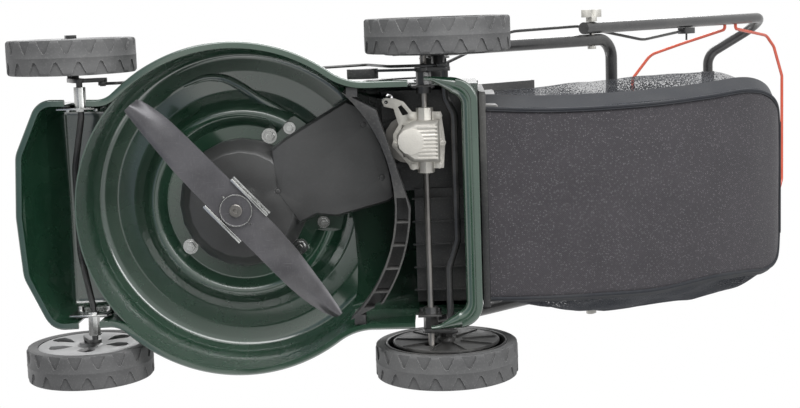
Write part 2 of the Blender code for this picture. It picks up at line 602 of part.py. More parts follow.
muffler = prism("muffler", rounded([(0.150, -0.062, 0.008), (0.082, -0.062, 0.008), (0.082, -0.112, 0.008),
                                    (0.150, -0.112, 0.008)], 3), 0.150, 0.212)
join(muffler, drum("exhaust_flange", 0.011, -0.070, -0.050 - GAP, (0.112, 0.176), "Y"))
for i in range(5):
    cut(muffler, box("louvre", (0.090 + 0.011 * i, -0.12, 0.162), (0.096 + 0.011 * i, -0.110, 0.200)))
show(muffler, "blade_steel")

carburettor = box("carburettor", (0.092, 0.050 + GAP, 0.156), (0.124, 0.082, 0.192))
join(carburettor, drum("float_bowl", 0.0135, 0.143, 0.160, (0.108, 0.067)))
show(carburettor, "cast_alloy")

FILTER_OUT = 0.122
filter_plan = rounded([(0.140, FILTER_OUT, 0.008), (0.074, FILTER_OUT, 0.008), (0.074, 0.082 + GAP, 0.004),
                       (0.140, 0.082 + GAP, 0.004)], 3)
filter_box = stack("air_filter", [level(inset(filter_plan, 0.003), 0.150), level(filter_plan, 0.154),
                                  level(filter_plan, 0.220), level(inset(filter_plan, 0.003), 0.224)])
BULB = (0.092, 0.170)
cut(filter_box, drum("bulb_well", 0.0100, FILTER_OUT - 0.010, 0.13, BULB, "Y"))
show(filter_box, "black_plastic")

bulb = turned("primer_bulb", [(0, FILTER_OUT - 0.0030), (0.0090, FILTER_OUT - 0.0030), (0.0090, FILTER_OUT + 0.0030),
                              (0.0075, FILTER_OUT + 0.0070), (0.0040, FILTER_OUT + 0.0090), (0, FILTER_OUT + 0.0095)],
              (BULB[0], 0, BULB[1]), "Y")
show(bulb, "red", (BULB[0], FILTER_OUT, BULB[1]))

plug = turned("spark_plug", [(0, 0.160), (0.0050, 0.160), (0.0050, 0.168 + GAP), (0.0100, 0.168 + GAP), (0.0100, 0.177),
                             (0.0055, 0.179), (0.0045, 0.196), (0, 0.196)], (0, *PLUG), "X")
show(plug, "white_ceramic")
boot = tube("plug_boot", path([(0.1796, 0, PLUG[1], 0), (0.206, 0, PLUG[1], 0.010), (0.206, 0, 0.200, 0)], 3), 0.0085, 10)
cut(boot, bore("plug_space", 0.0058, 0.17, 0.1975, PLUG, "X"))
lead = path([(0.206, 0, 0.195, 0), (0.206, 0, 0.246, 0.02), (0.15, 0.01, 0.252, 0.02), (0.0985, 0.01, 0.240, 0)])
join(boot, tube("plug_lead", lead, 0.0032, 6))
show(boot, "rubber")


def capsule(start, end, radius, steps=5):
    """The outline round two points, as of a link plate."""
    lean = atan2(end[1] - start[1], end[0] - start[0]) * 180 / pi
    return arc(radius, lean + 90, lean + 270, steps, start) + arc(radius, lean - 90, lean + 90, steps, end)


def polar(centre, radius, angle):
    return (centre[0] + radius * cos(radians(angle)), centre[1] + radius * sin(radians(angle)))


def y_span(side, near, far):
    return sorted((side * near, side * far))


FRONT_IN = FRONT_TRACK / 2 - TYRE_WIDE / 2
REAR_IN = REAR_TRACK / 2 - TYRE_WIDE / 2
STUB_R = 0.0050
HUB_BORE = 0.0056
ARM_IN = 0.1800
ARM_OUT = 0.1855
LINK_R = 0.032
SWING = 80
REAR_LINK_ANGLE = 200
FRONT_LINK_ANGLE = 160
rear_shaft = (SHAFT_X, SHAFT_Z)
rear_axle = (REAR_AXLE_X, REAR_R)
front_rod = (FRONT_ROD_X, FRONT_ROD_Z)
front_axle_spot = (FRONT_AXLE_X, FRONT_R)
rear_pin = polar(rear_shaft, LINK_R, REAR_LINK_ANGLE)
front_pin = polar(front_rod, LINK_R, FRONT_LINK_ANGLE)
SIDE_NAMES = {1: "left", -1: "right"}


def tyre(name, radius, rim_radius, near, centre, side):
    """A tyre whose flat bottom facet touches the ground."""
    outer = radius * FACET
    rim_radius *= FACET
    line = [(rim_radius, near), (outer - 0.005, near), (outer, near + 0.005),
            (outer, near + TYRE_WIDE - 0.005), (outer - 0.005, near + TYRE_WIDE), (rim_radius, near + TYRE_WIDE)]
    return turned(name, [(r, side * y) for r, y in line], (centre[0], 0, centre[1]), "Y", WHEEL_SIDES)


# The front axle is a bent rod with a crank arm and a stub at each end.
BOW = (FRONT_ROD_X + 0.0169, FRONT_ROD_Z + 0.0141)
rod_line = [(FRONT_ROD_X, 0.182, FRONT_ROD_Z, 0), (FRONT_ROD_X, 0.132, FRONT_ROD_Z, 0.03), (BOW[0], 0.060, BOW[1], 0.05)]
rod_line += [(x, -y, z, r) for x, y, z, r in reversed(rod_line)]
front_axle = tube("front_axle", path(rod_line, 2), 0.0045, 8)
FRONT_HUB_R = 0.0140
for side in (-1, 1):
    join(front_axle, side_prism("crank_arm", capsule(front_rod, front_axle_spot, 0.0090), *y_span(side, ARM_IN, ARM_OUT)))
    join(front_axle, drum("stub", STUB_R, *y_span(side, ARM_OUT - 0.002, FRONT_IN + 0.0520), front_axle_spot, "Y"))
    join(front_axle, drum("stub_collar", 0.0085, *y_span(side, ARM_OUT - 0.001, 0.1897), front_axle_spot, "Y"))
    join(front_axle, drum("stub_nut", 0.0085, *y_span(side, FRONT_IN + TYRE_WIDE + GAP, FRONT_IN + 0.0530), front_axle_spot, "Y", 6))
join(front_axle, side_prism("link_arm", capsule(front_rod, front_pin, 0.0065), ARM_IN, ARM_OUT))
show(front_axle, "black_paint", (FRONT_ROD_X, 0, FRONT_ROD_Z))

for side in (-1, 1):
    clamp = box(f"front_clamp_{SIDE_NAMES[side]}", (0.1900, *y_span(side, 0.1435, 0.1460)[:1], 0.0480),
                (0.2430, y_span(side, 0.1435, 0.1460)[1], 0.0960))
    for x in (0.1965, 0.2365):
        reach = box("clamp_ear", (x - 0.0055, y_span(side, 0.1450, 0.1482)[0], 0.0780),
                    (x + 0.0055, y_span(side, 0.1450, 0.1482)[1], 0.0960))
        join(clamp, reach)
        join(clamp, drum("clamp_bolt", 0.0050, *y_span(side, 0.1385, 0.1440), (x, 0.0890), "Y", 6))
    join(clamp, drum("rod_bush", 0.0085, *y_span(side, 0.1405, 0.1740), front_rod, "Y"))
    cut(clamp, bore("rod_bore", 0.0045 + GAP, *y_span(side, 0.13, 0.18), front_rod, "Y"))
    show(clamp, "zinc")

for side in (-1, 1):
    near = FRONT_IN
    rim_line = [(HUB_BORE, near - 0.0020), (0.0140, near - 0.0020), (0.0150, near + 0.0020), (0.0660, near + 0.0010),
                (0.0725, near - 0.0002), (0.0725, near + TYRE_WIDE), (0.0700, near + TYRE_WIDE),
                (0.0680, near + 0.0380), (0.0140, near + 0.0400), (0.0130, near + TYRE_WIDE), (HUB_BORE, near + TYRE_WIDE)]
    rim = turned(f"front_wheel_{SIDE_NAMES[side]}", [(r, side * y) for r, y in rim_line],
                 (FRONT_AXLE_X, 0, FRONT_R), "Y")
    hollow_line = [(0.0170, near + 0.0050), (0.0680, near + 0.0040), (0.0670, near + 0.0350), (0.0170, near + 0.0370)]
    cut(rim, turned("rim_hollow", [(r, side * y) for r, y in hollow_line], (FRONT_AXLE_X, 0, FRONT_R), "Y"))
    for i in range(6):
        lean = radians(60 * i + 20)
        leaf = [(0.030, 0), (0.041, 0.0125), (0.056, 0.0125), (0.0610, 0), (0.056, -0.0125), (0.041, -0.0125)]
        turned_leaf = [(FRONT_AXLE_X + a * cos(lean) - b * sin(lean), FRONT_R + a * sin(lean) + b * cos(lean))
                       for a, b in leaf]
        cut(rim, side_prism("leaf_hole", turned_leaf, *y_span(side, near - 0.005, near + 0.010)))
    show(rim, "wheel_plastic", (FRONT_AXLE_X, side * FRONT_TRACK / 2, FRONT_R))
    show(tyre(f"front_tyre_{SIDE_NAMES[side]}", FRONT_R, 0.0725 + GAP, near, front_axle_spot, side), "tyre",
         (FRONT_AXLE_X, side * FRONT_TRACK / 2, FRONT_R))

# The driven rear wheels have an internal gear; the drive shaft carries a pinion into each.
PINION_R = 0.0158
GEAR_TIP = hypot(REAR_AXLE_X - SHAFT_X, REAR_R - SHAFT_Z) + PINION_R + GAP


def gear(centre, tip, root, teeth):
    """A toothed outline round a point."""
    points = []
    step = 360 / teeth
    for i in range(teeth):
        for radius, part in ((root, 0), (tip, 0.5)):
            points.append(polar(centre, radius, step * (i + part)))
    return points


for side in (-1, 1):
    near = REAR_IN
    rim_line = [(HUB_BORE, near + 0.0028), (0.0130, near + 0.0028), (0.0130, near + 0.0300), (0.0515, near + 0.0300),
                (0.0515, near + 0.0060), (0.0560, near + 0.0060), (0.0560, near + 0.0300), (0.0820, near + 0.0300),
                (0.0835, near), (0.0865, near), (0.0865, near + TYRE_WIDE), (0.0835, near + TYRE_WIDE),
                (0.0810, near + 0.0340), (0.0190, near + 0.0360), (0.0180, near + 0.0448), (HUB_BORE, near + 0.0448)]
    rim = turned(f"rear_wheel_{SIDE_NAMES[side]}", [(r, side * y) for r, y in rim_line],
                 (REAR_AXLE_X, 0, REAR_R), "Y")
    teeth = side_prism("ring_teeth", circle(0.0525, 24, rear_axle), *y_span(side, near + 0.0064, near + 0.0255))
    cut(teeth, side_prism("tooth_gaps", gear(rear_axle, 0.0512, GEAR_TIP, 38), *y_span(side, near, near + 0.0300)))
    join(rim, settle(teeth))
    show(rim, "black_plastic", (REAR_AXLE_X, side * REAR_TRACK / 2, REAR_R))
    show(tyre(f"rear_tyre_{SIDE_NAMES[side]}", REAR_R, 0.0865 + GAP, near, rear_axle, side), "tyre",
         (REAR_AXLE_X, side * REAR_TRACK / 2, REAR_R))
    dust = drum(f"dust_cover_{SIDE_NAMES[side]}", 0.0755, *y_span(side, near - 0.0012, near + 0.0010), rear_axle, "Y")
    join(dust, drum("cover_boss", 0.0125, *y_span(side, near - 0.0060, near + 0.0010), rear_axle, "Y"))
    for i in range(9):
        start = polar(rear_axle, 0.030, 40 * i + 8)
        end = polar(rear_axle, 0.068, 40 * i + 8)
        join(dust, side_prism("cover_rib", capsule(start, end, 0.0008, 2), *y_span(side, near - 0.0028, near - 0.0010)))
    cut(dust, bore("axle_hole", STUB_R + GAP, *y_span(side, 0.15, near + 0.0200), rear_axle, "Y"))
    cut(dust, bore("shaft_hole", 0.0105, *y_span(side, 0.15, near + 0.0200), rear_shaft, "Y"))
    show(dust, "black_plastic")

drive_shaft = drum("drive_shaft", SHAFT_R, -REAR_IN - 0.02475, REAR_IN + 0.02475, rear_shaft, "Y")
for side in (-1, 1):
    join(drive_shaft, side_prism("pinion", gear(rear_shaft, PINION_R, 0.0132, 12), *y_span(side, REAR_IN + 0.0070, REAR_IN + 0.0230)))
join(drive_shaft, side_prism("worm_wheel", gear(rear_shaft, 0.0162, 0.0145, 20), GEARBOX_Y - 0.007, GEARBOX_Y + 0.007))
show(drive_shaft, "bright_steel", (SHAFT_X, 0, SHAFT_Z))

for side in (-1, 1):
    plate = box(f"axle_bearing_{SIDE_NAMES[side]}", (-0.2765, y_span(side, 0.1590, 0.1617)[0], 0.0580),
                (-0.2440, y_span(side, 0.1590, 0.1617)[1], 0.0975))
    for x in (-0.2500, -0.2715):
        join(plate, drum("plate_bolt", 0.0050, *y_span(side, 0.1550, 0.1595), (x, 0.0915), "Y", 6))
    join(plate, drum("shaft_bush", 0.0105, *y_span(side, 0.1500, ARM_IN - GAP), rear_shaft, "Y"))
    cut(plate, bore("shaft_bore", SHAFT_R + GAP, *y_span(side, 0.14, 0.19), rear_shaft, "Y"))
    show(plate, "black_paint")

# The gearbox hangs on the drive shaft, with cooling ribs below and a torque arm towards the front left.
bolts = [(-0.243, 0.119), (-0.280, 0.118), (-0.284, 0.081), (-0.280, 0.051), (-0.244, 0.050), (-0.221, 0.080)]
flange_plan = [(-0.2440, 0.1245), (-0.2840, 0.1240), (-0.2890, 0.0840), (-0.2860, 0.0460), (-0.2420, 0.0450),
               (-0.2340, 0.0560), (-0.2165, 0.0770), (-0.2175, 0.0950), (-0.2330, 0.1190)]
gearbox = prism("gearbox", flange_plan, SHAFT_Z - 0.0035, SHAFT_Z + 0.0045)
body_plan = [(-0.2815, 0.1130), (-0.2815, 0.0560), (-0.2450, 0.0560), (-0.2330, 0.0640), (-0.2235, 0.0760),
             (-0.2225, 0.0930), (-0.2320, 0.1070), (-0.2480, 0.1130)]
join(gearbox, stack("gear_case", [level(inset(body_plan, a), z) for a, z in
                                  ((0.006, 0.0480), (0.002, 0.0520), (0, 0.0600), (0, 0.0920), (0.004, 0.0975))]))
join(gearbox, drum("shaft_hub", 0.0120, 0.0400, 0.1300, rear_shaft, "Y"))
join(gearbox, drum("round_case", 0.0180, 0.0462, 0.060, (-0.2420, 0.0860)))
for i in range(9):
    place = 0.0625 + 0.00525 * i
    join(gearbox, box("cooling_rib", (-0.2785, place - 0.0011, 0.0465), (-0.2520, place + 0.0011, 0.0560)))
for spot in bolts:
    join(gearbox, drum("flange_boss", 0.0060, SHAFT_Z - 0.0045, SHAFT_Z + 0.0060, spot))
    join(gearbox, prism("flange_bolt", circle(0.0040, 6, spot), SHAFT_Z - 0.0085, SHAFT_Z))
arm_plan = [(-0.2280, 0.0960), (-0.2190, 0.1300), (-0.2060, 0.1330), (-0.2030, 0.1400), (-0.2080, 0.1450),
            (-0.2200, 0.1440), (-0.2330, 0.1390), (-0.2500, 0.1180), (-0.2450, 0.1080)]
join(gearbox, prism("torque_arm", arm_plan, SHAFT_Z - 0.0030, SHAFT_Z + 0.0005))
cut(gearbox, prism("arm_window", [(-0.2310, 0.1200), (-0.2250, 0.1320), (-0.2300, 0.1345), (-0.2400, 0.1220)], 0.06, 0.08))
cut(gearbox, drum("spring_eye", 0.0028, 0.06, 0.08, CABLE_HOLE))
join(gearbox, drum("input_boss", 0.0110, 0.0950, 0.1005, (PULLEY_X, GEARBOX_Y)))
cut(gearbox, box("gear_space", (-0.2795, 0.0620, 0.0565), (-0.2300, 0.1070, 0.0935)))
cut(gearbox, bore("shaft_bore", SHAFT_R + GAP, 0.03, 0.14, rear_shaft, "Y"))
cut(gearbox, bore("input_bore", 0.0050 + GAP, 0.09, 0.11, (PULLEY_X, GEARBOX_Y)))
show(gearbox, "cast_alloy", (SHAFT_X, GEARBOX_Y, SHAFT_Z))

pulley_line = [(0, 0.0640), (0.0055, 0.0640), (0.0055, 0.0920), (0.0050, 0.0920), (0.0050, 0.1010), (0.0340, 0.1012),
               (0.0340, 0.1026), (0.0250, 0.1050), (0.0250, 0.1120), (0.0340, 0.1144), (0.0340, 0.1156), (0.0060, 0.1160),
               (0.0060, 0.1185), (0, 0.1185)]
pulley = turned("gearbox_pulley", pulley_line, (PULLEY_X, GEARBOX_Y, 0))
show(pulley, "bright_steel", (PULLEY_X, GEARBOX_Y, BELT_Z))


def loop(first, second, steps=9):
    """The outline of a belt round two circles (x, y, radius)."""
    lean = atan2(second[1] - first[1], second[0] - first[0])
    apart = hypot(second[0] - first[0], second[1] - first[1])
    open_angle = pi / 2 - atan2(first[2] - second[2], apart)
    deg = 180 / pi
    start = (lean + open_angle) * deg
    end = (lean - open_angle) * deg + 360
    back = (lean - open_angle) * deg
    return arc(first[2], start, end, steps, first[:2]) + arc(second[2], back, start, steps, second[:2])


BELT_DEEP = 0.0075
CRANK_BELT_R = 0.0299
REAR_BELT_R = 0.0259
belt = prism("drive_belt", loop((0, 0, CRANK_BELT_R + BELT_DEEP), (PULLEY_X, GEARBOX_Y, REAR_BELT_R + BELT_DEEP)), BELT_Z - 0.003,
             BELT_Z + 0.003)
cut(belt, prism("belt_inside", loop((0, 0, CRANK_BELT_R), (PULLEY_X, GEARBOX_Y, REAR_BELT_R)), 0.09, 0.12))
show(belt, "rubber")

# The coil spring that joins the drive cable to the torque arm.
COIL_R = 0.0062
TURNS = 7
TURN_STEPS = 9
COIL_LOW = 0.0790
COIL_HIGH = 0.1020
coil = [(0, 0, 0.0680), (0, 0, 0.0745), (0.0030, 0, COIL_LOW - 0.0012)]
for i in range(TURNS * TURN_STEPS + 1):
    angle = 2 * pi * i / TURN_STEPS
    rise = (COIL_HIGH - COIL_LOW) * i / (TURNS * TURN_STEPS)
    coil.append((COIL_R * cos(angle), COIL_R * sin(angle), COIL_LOW + rise))
coil += [(0.0030, 0, COIL_HIGH + 0.0012), (0, 0, COIL_HIGH + 0.0045), (0, 0, 0.1130)]
spring = tube("cable_spring", [(CABLE_HOLE[0] + x, CABLE_HOLE[1] + y, z) for x, y, z in coil], 0.0009, 5)
show(spring, "bright_steel")

# The rear height adjuster: an arm and a stub on each side, joined by a cranked bar, with a lever on the left.
bar = [(-0.2905, ARM_OUT - 0.002, 0.0650, 0), (-0.2905, 0.1430, 0.0650, 0.015), (-0.3020, 0.1200, 0.0650, 0.015),
       (-0.3020, -0.0550, 0.0650, 0.015), (-0.2890, -0.0930, 0.0650, 0.015), (-0.2890, 0.002 - ARM_OUT, 0.0650, 0)]
adjuster = tube("rear_adjuster", path(bar, 2), 0.0050, 8)
for side in (-1, 1):
    arm = side_prism("rear_arm", capsule(rear_shaft, rear_axle, 0.0125, 6), *y_span(side, ARM_IN, ARM_OUT))
    join(arm, side_prism("bar_arm", capsule(rear_shaft, (-0.2900, 0.0650), 0.0085), *y_span(side, ARM_IN, ARM_OUT)))
    join(adjuster, settle(arm))
    join(adjuster, drum("rear_stub", STUB_R, *y_span(side, ARM_OUT - 0.002, REAR_IN + 0.04695), rear_axle, "Y"))
    join(adjuster, drum("stub_collar", 0.0090, *y_span(side, ARM_OUT - 0.001, REAR_IN - 0.0063), rear_axle, "Y"))
    join(adjuster, drum("stub_nut", 0.0088, *y_span(side, REAR_IN + 0.0451, REAR_IN + 0.04725), rear_axle, "Y", 6))
join(adjuster, side_prism("link_arm", capsule(rear_shaft, rear_pin, 0.0065), ARM_IN, ARM_OUT))
join(adjuster, drum("link_pin", 0.0030, ARM_OUT - 0.001, 0.1912, rear_pin, "Y"))
LEVER_ANGLE = 8
lever_end = polar(rear_shaft, 0.085, LEVER_ANGLE)
join(adjuster, side_prism("lever", capsule(rear_shaft, lever_end, 0.0060), ARM_IN + 0.0005, ARM_OUT - 0.0015))
for side in (-1, 1):
    cut(adjuster, bore("shaft_bore", SHAFT_R + GAP, *y_span(side, 0.17, 0.1875), rear_shaft, "Y"))
show(adjuster, "black_paint", (SHAFT_X, 0, SHAFT_Z))

knob_start = polar(rear_shaft, 0.074, LEVER_ANGLE)
knob_end = polar(rear_shaft, 0.096, LEVER_ANGLE)
knob = side_prism("height_knob", capsule(knob_start, knob_end, 0.0110), 0.1715, 0.1852)
cut(knob, side_prism("knob_socket", capsule(polar(rear_shaft, 0.050, LEVER_ANGLE), lever_end, 0.0060 + GAP),
                     ARM_IN + 0.0002, ARM_OUT - 0.0012))
show(knob, "black_plastic")

quadrant_plan = [polar(rear_shaft, 0.066, a) for a in range(-4, 93, 8)]
for i in range(7):
    for radius, lean in ((0.083, 88 - 13.5 * i), (0.083, 83 - 13.5 * i), (0.079, 82 - 13.5 * i), (0.079, 78 - 13.5 * i)):
        quadrant_plan.append(polar(rear_shaft, radius, lean))
quadrant = side_prism("notched_plate", quadrant_plan, 0.1665, 0.1690)
join(quadrant, drum("low_foot", 0.0045, 0.1630, 0.1680, polar(rear_shaft, 0.0725, 2), "Y"))
join(quadrant, drum("high_foot", 0.0045, 0.1590, 0.1680, polar(rear_shaft, 0.0725, 84), "Y"))
join(deck, settle(quadrant))
show(deck, "green")

LINK_Y = (ARM_OUT + GAP, ARM_OUT + 0.0048)
link_mid = (LINK_Y[0] + LINK_Y[1]) / 2
FRONT_LINK_Y = (ARM_IN - 0.0048, ARM_IN - GAP)
front_mid = (FRONT_LINK_Y[0] + FRONT_LINK_Y[1]) / 2
link_line = [(rear_pin[0] + 0.004, link_mid, rear_pin[1] + 0.0002, 0), (-0.216, link_mid, 0.0665, 0.012),
             (-0.180, link_mid, 0.156, 0.015), (0.148, front_mid, 0.156, 0.015), (0.158, front_mid, 0.0715, 0.010),
             (front_pin[0] - 0.005, front_mid, front_pin[1] - 0.0002, 0)]
link = tube("link_rod", path(link_line, 2), 0.0022, 6)
join(link, side_prism("rear_eye", capsule(rear_pin, (rear_pin[0] + 0.006, rear_pin[1]), 0.0065), *LINK_Y))
join(link, drum("front_eye", 0.0065, *FRONT_LINK_Y, front_pin, "Y"))
join(link, drum("front_rivet", 0.0042, FRONT_LINK_Y[0] - 0.0012, FRONT_LINK_Y[0] + 0.001, front_pin, "Y"))
cut(link, bore("rear_hole", 0.0030 + GAP, 0.18, 0.2, rear_pin, "Y"))
show(link, "black_paint", (rear_pin[0], link_mid, rear_pin[1]))

# The handle in two parts, bolted together by a knob on each side.
FOOT = (-0.264, 0.226)
lower_lean = atan2(FOLD_Z - FOOT[1], FOLD_X - FOOT[0]) * 180 / pi
lower_top = polar((FOLD_X, FOLD_Z), 0.050, lower_lean)
lower_line = [(*FOOT[:1], LOWER_Y, FOOT[1], 0), (lower_top[0], LOWER_Y, lower_top[1], 0.032)]
lower_line += [(x, -y, z, r) for x, y, z, r in reversed(lower_line)]
lower = tube("lower_handle", path(lower_line, 4), TUBE_R, 10)
FOOT_BOLTS = [polar(FOOT, 0.010, lower_lean), polar(FOOT, 0.032, lower_lean)]
for spot in FOOT_BOLTS:
    for side in (-1, 1):
        cut(lower, bore("foot_hole", 0.0035 + GAP, *y_span(side, 0.18, 0.22), spot, "Y"))
cut(lower, bore("fold_hole", 0.0040 + GAP, -0.22, 0.22, (FOLD_X, FOLD_Z), "Y"))
show(lower, "black_paint")

for side in (-1, 1):
    bracket = box(f"handle_bracket_{SIDE_NAMES[side]}", (FOOT[0] - 0.0300, y_span(side, 0.1600 + GAP, 0.1626)[0], 0.1900),
                  (FOOT[0] + 0.0180, y_span(side, 0.1600 + GAP, 0.1626)[1], 0.2240))
    face = LOWER_Y - TUBE_R - GAP
    join(bracket, box("bracket_web", (FOOT[0] - 0.0300, y_span(side, 0.1610, face - 0.0019)[0], 0.2200),
                      (FOOT[0] + 0.0060, y_span(side, 0.1610, face - 0.0019)[1], 0.2225)))
    join(bracket, side_prism("bracket_ear", capsule(FOOT, polar(FOOT, 0.034, lower_lean), 0.0105),
                             *y_span(side, face - 0.0025, face)))
    for x in (FOOT[0] + 0.0100, FOOT[0] - 0.0220):
        join(bracket, drum("rivet", 0.0040, *y_span(side, 0.1620, 0.1645), (x, 0.2000), "Y"))
    for spot in FOOT_BOLTS:
        join(bracket, drum("foot_bolt", 0.0035, *y_span(side, face - 0.001, LOWER_Y + TUBE_R + 0.0035), spot, "Y"))
        join(bracket, drum("foot_head", 0.0065, *y_span(side, LOWER_Y + TUBE_R + GAP, LOWER_Y + TUBE_R + 0.0040), spot, "Y", 6))
    show(bracket, "black_paint")

GRIP_X = -0.830
GRIP_Z = 1.075
END = (-0.941, 1.012)
upper_lean = atan2(END[1] - FOLD_Z, END[0] - FOLD_X) * 180 / pi
upper_foot = polar((FOLD_X, FOLD_Z), -0.024, upper_lean)
upper_line = [(upper_foot[0], UPPER_Y, upper_foot[1], 0), (END[0], UPPER_Y, END[1], 0.055),
              (GRIP_X, 0.150, GRIP_Z, 0.035)]
upper_line += [(x, -y, z, r) for x, y, z, r in reversed(upper_line)]
upper = tube("upper_handle", path(upper_line, 4), TUBE_R, 10)
STOP_PIVOT = polar((FOLD_X, FOLD_Z), 0.469, upper_lean)
DRIVE_PIVOT = polar((FOLD_X, FOLD_Z), 0.513, upper_lean)
cut(upper, bore("fold_hole", 0.0040 + GAP, -0.24, 0.24, (FOLD_X, FOLD_Z), "Y"))
for side in (-1, 1):
    for pivot in (STOP_PIVOT, DRIVE_PIVOT):
        cut(upper, bore("bail_hole", BAIL_R + GAP, *y_span(side, UPPER_Y - 0.0187, UPPER_Y + 0.0023), pivot, "Y"))
show(upper, "black_paint", (FOLD_X, 0, FOLD_Z))

GRIP_HALF = 0.117
grip = drum("handle_grip", TUBE_R + 0.0030, -GRIP_HALF, GRIP_HALF, (GRIP_X, GRIP_Z), "Y")
cut(grip, bore("grip_bore", TUBE_R + GAP, -0.2, 0.2, (GRIP_X, GRIP_Z), "Y"))
show(grip, "rubber")


def bail(name, pivot, corners, colour="red"):
    """A wire bail from corners (x, y, z, radius) of its left half, hinged in the handle tube."""
    line = [(pivot[0], UPPER_Y - 0.002, pivot[1], 0), (pivot[0], UPPER_Y - TUBE_R - 0.0085, pivot[1], 0.006)] + corners
    line += [(x, -y, z, r) for x, y, z, r in reversed(line)]
    return show(tube(name, path(line, 2), BAIL_R, 8), colour, (pivot[0], 0, pivot[1]))


bail("stop_bail", STOP_PIVOT, [(-0.752, 0.178, 0.938, 0.05), (-0.700, 0.158, 0.978, 0.040), (-0.666, 0.110, 1.000, 0.022)])
bail("drive_bail", DRIVE_PIVOT, [(-0.9300, 0.188, 0.9890, 0.03), (-0.9490, 0.165, 1.0080, 0.02),
                                 (BAIL_BACK, 0.105, 1.0290, 0.015)])

KNOB_OUT = UPPER_Y + 0.0297
for side in (-1, 1):
    knob = drum(f"handle_knob_{SIDE_NAMES[side]}", 0.0040, *y_span(side, LOWER_Y - TUBE_R - 0.0037, UPPER_Y + 0.0213), (FOLD_X, FOLD_Z), "Y")
    join(knob, drum("knob_hub", 0.0090, *y_span(side, UPPER_Y + TUBE_R + GAP, UPPER_Y + 0.0183), (FOLD_X, FOLD_Z), "Y"))
    for lean in (upper_lean, upper_lean + 180):
        wing = capsule(polar((FOLD_X, FOLD_Z), 0.0115, lean), polar((FOLD_X, FOLD_Z), 0.0185, lean), 0.0066)
        join(knob, side_prism("knob_wing", wing, *y_span(side, UPPER_Y + (0.0173 if lean < 180 else 0.0175), KNOB_OUT)))
    join(knob, drum("bolt_end", 0.0070, *y_span(side, LOWER_Y - TUBE_R - 0.0047, LOWER_Y - TUBE_R - GAP), (FOLD_X, FOLD_Z), "Y", 6))
    show(knob, "grey_plastic", (FOLD_X, 0, FOLD_Z))

# The control cables run from the handle blocks to the gearbox spring and to the engine.
BLOCK = polar((FOLD_X, FOLD_Z), 0.320, upper_lean)
CABLE_R = 0.0025
INNER_Y = UPPER_Y - TUBE_R
blocks = {}
for side, name in ((1, "drive"), (-1, "stop")):
    lean = upper_lean
    corners = [polar(polar(BLOCK, u, lean), v, lean + 90) for u, v in ((-0.018, -0.008), (0.018, -0.008), (0.018, 0.008), (-0.018, 0.008))]
    blocks[side] = side_prism(f"{name}_cable", corners, *y_span(side, INNER_Y - 0.0110, INNER_Y - GAP))
    join(blocks[side], drum("block_peg", 0.0018, *y_span(side, INNER_Y - 0.0230, INNER_Y - 0.0100), BLOCK, "Y"))

CABLE_Y = INNER_Y - 0.0056
SHEATH_END = polar(BLOCK, -0.0120, upper_lean)
CABLE_LOW = polar((FOLD_X, FOLD_Z), 0.160, upper_lean)
drive_route = [(*CABLE_HOLE, 0.1165, 0), (*CABLE_HOLE, 0.250, 0.03), (-0.290, 0.178, 0.345, 0.06), (-0.400, 0.2235, 0.430, 0.08),
               (-0.515, 0.2265, 0.528, 0.05), (CABLE_LOW[0] - 0.004, 0.1975, CABLE_LOW[1] + 0.012, 0.08),
               (SHEATH_END[0], CABLE_Y, SHEATH_END[1], 0)]
show(join(blocks[1], tube("drive_sheath", path(drive_route, 4), CABLE_R, 6)), "rubber")
stop_route = [(-0.060, -0.0865, 0.165, 0), (-0.085, -0.115, 0.200, 0.03), (-0.200, -0.150, 0.300, 0.08),
              (-0.400, -0.2235, 0.430, 0.08), (-0.515, -0.2265, 0.528, 0.05),
              (CABLE_LOW[0] - 0.004, -0.1975, CABLE_LOW[1] + 0.012, 0.08), (SHEATH_END[0], -CABLE_Y, SHEATH_END[1], 0)]
show(join(blocks[-1], tube("stop_sheath", path(stop_route, 4), CABLE_R, 6)), "rubber")

# The grass bag: a moulded mouth frame and a fabric body that is open to the mouth.
FRAME_X = -0.3363
FRAME_BACK = -0.3455
frame = box("bag_frame", (FRAME_BACK, -0.150, 0.0600), (FRAME_X, 0.150, 0.2385))
cut(frame, box("frame_mouth", (-0.35, 0.002 - MOUTH_HALF, MOUTH_Z[0] + 0.002), (-0.33, MOUTH_HALF - 0.002, MOUTH_Z[1] - 0.002)))
for side in (-1, 1):
    join(frame, box("frame_hook", (FRAME_X - 0.004, y_span(side, 0.112, 0.120)[0], MOUTH_Z[1] - 0.0028),
                    (-0.3320, y_span(side, 0.112, 0.120)[1], MOUTH_Z[1] - GAP)))
show(frame, "black_plastic")

WALL = 0.0022
# x, underside, top, half widths of the underside on the left and right, of the top on the left, of the bulge on the right.
BAG_SECTIONS = [(-0.3458, 0.060, 0.2500, 0.130, 0.141, 0.1420, 0.152), (-0.4200, 0.068, 0.3120, 0.125, 0.142, 0.1450, 0.182),
                (-0.4900, 0.079, 0.3620, 0.124, 0.142, 0.1480, 0.200), (-0.5800, 0.103, 0.4000, 0.126, 0.142, 0.1510, 0.203),
                (-0.6600, 0.136, 0.4150, 0.131, 0.133, 0.1530, 0.201), (-0.7200, 0.170, 0.4120, 0.136, 0.132, 0.1520, 0.191),
                (-0.7550, 0.200, 0.3980, 0.130, 0.135, 0.1380, 0.172), (-0.7780, 0.230, 0.3750, 0.112, 0.125, 0.1180, 0.144),
                (-0.7900, 0.268, 0.3450, 0.080, 0.092, 0.0850, 0.098)]


def bag_ring(section, wall):
    x, low, high, low_left, low_right, left, right = section
    plan = [(low_left - wall, low + wall, 0.012), (left - wall, high - wall, 0.030), (wall - 0.9 * right, high - wall, 0.030),
            (wall - right, 0.45 * low + 0.55 * high, 0.040), (wall - low_right, low + wall, 0.012)]
    return [(x, y, z) for y, z in rounded(plan, 3)]


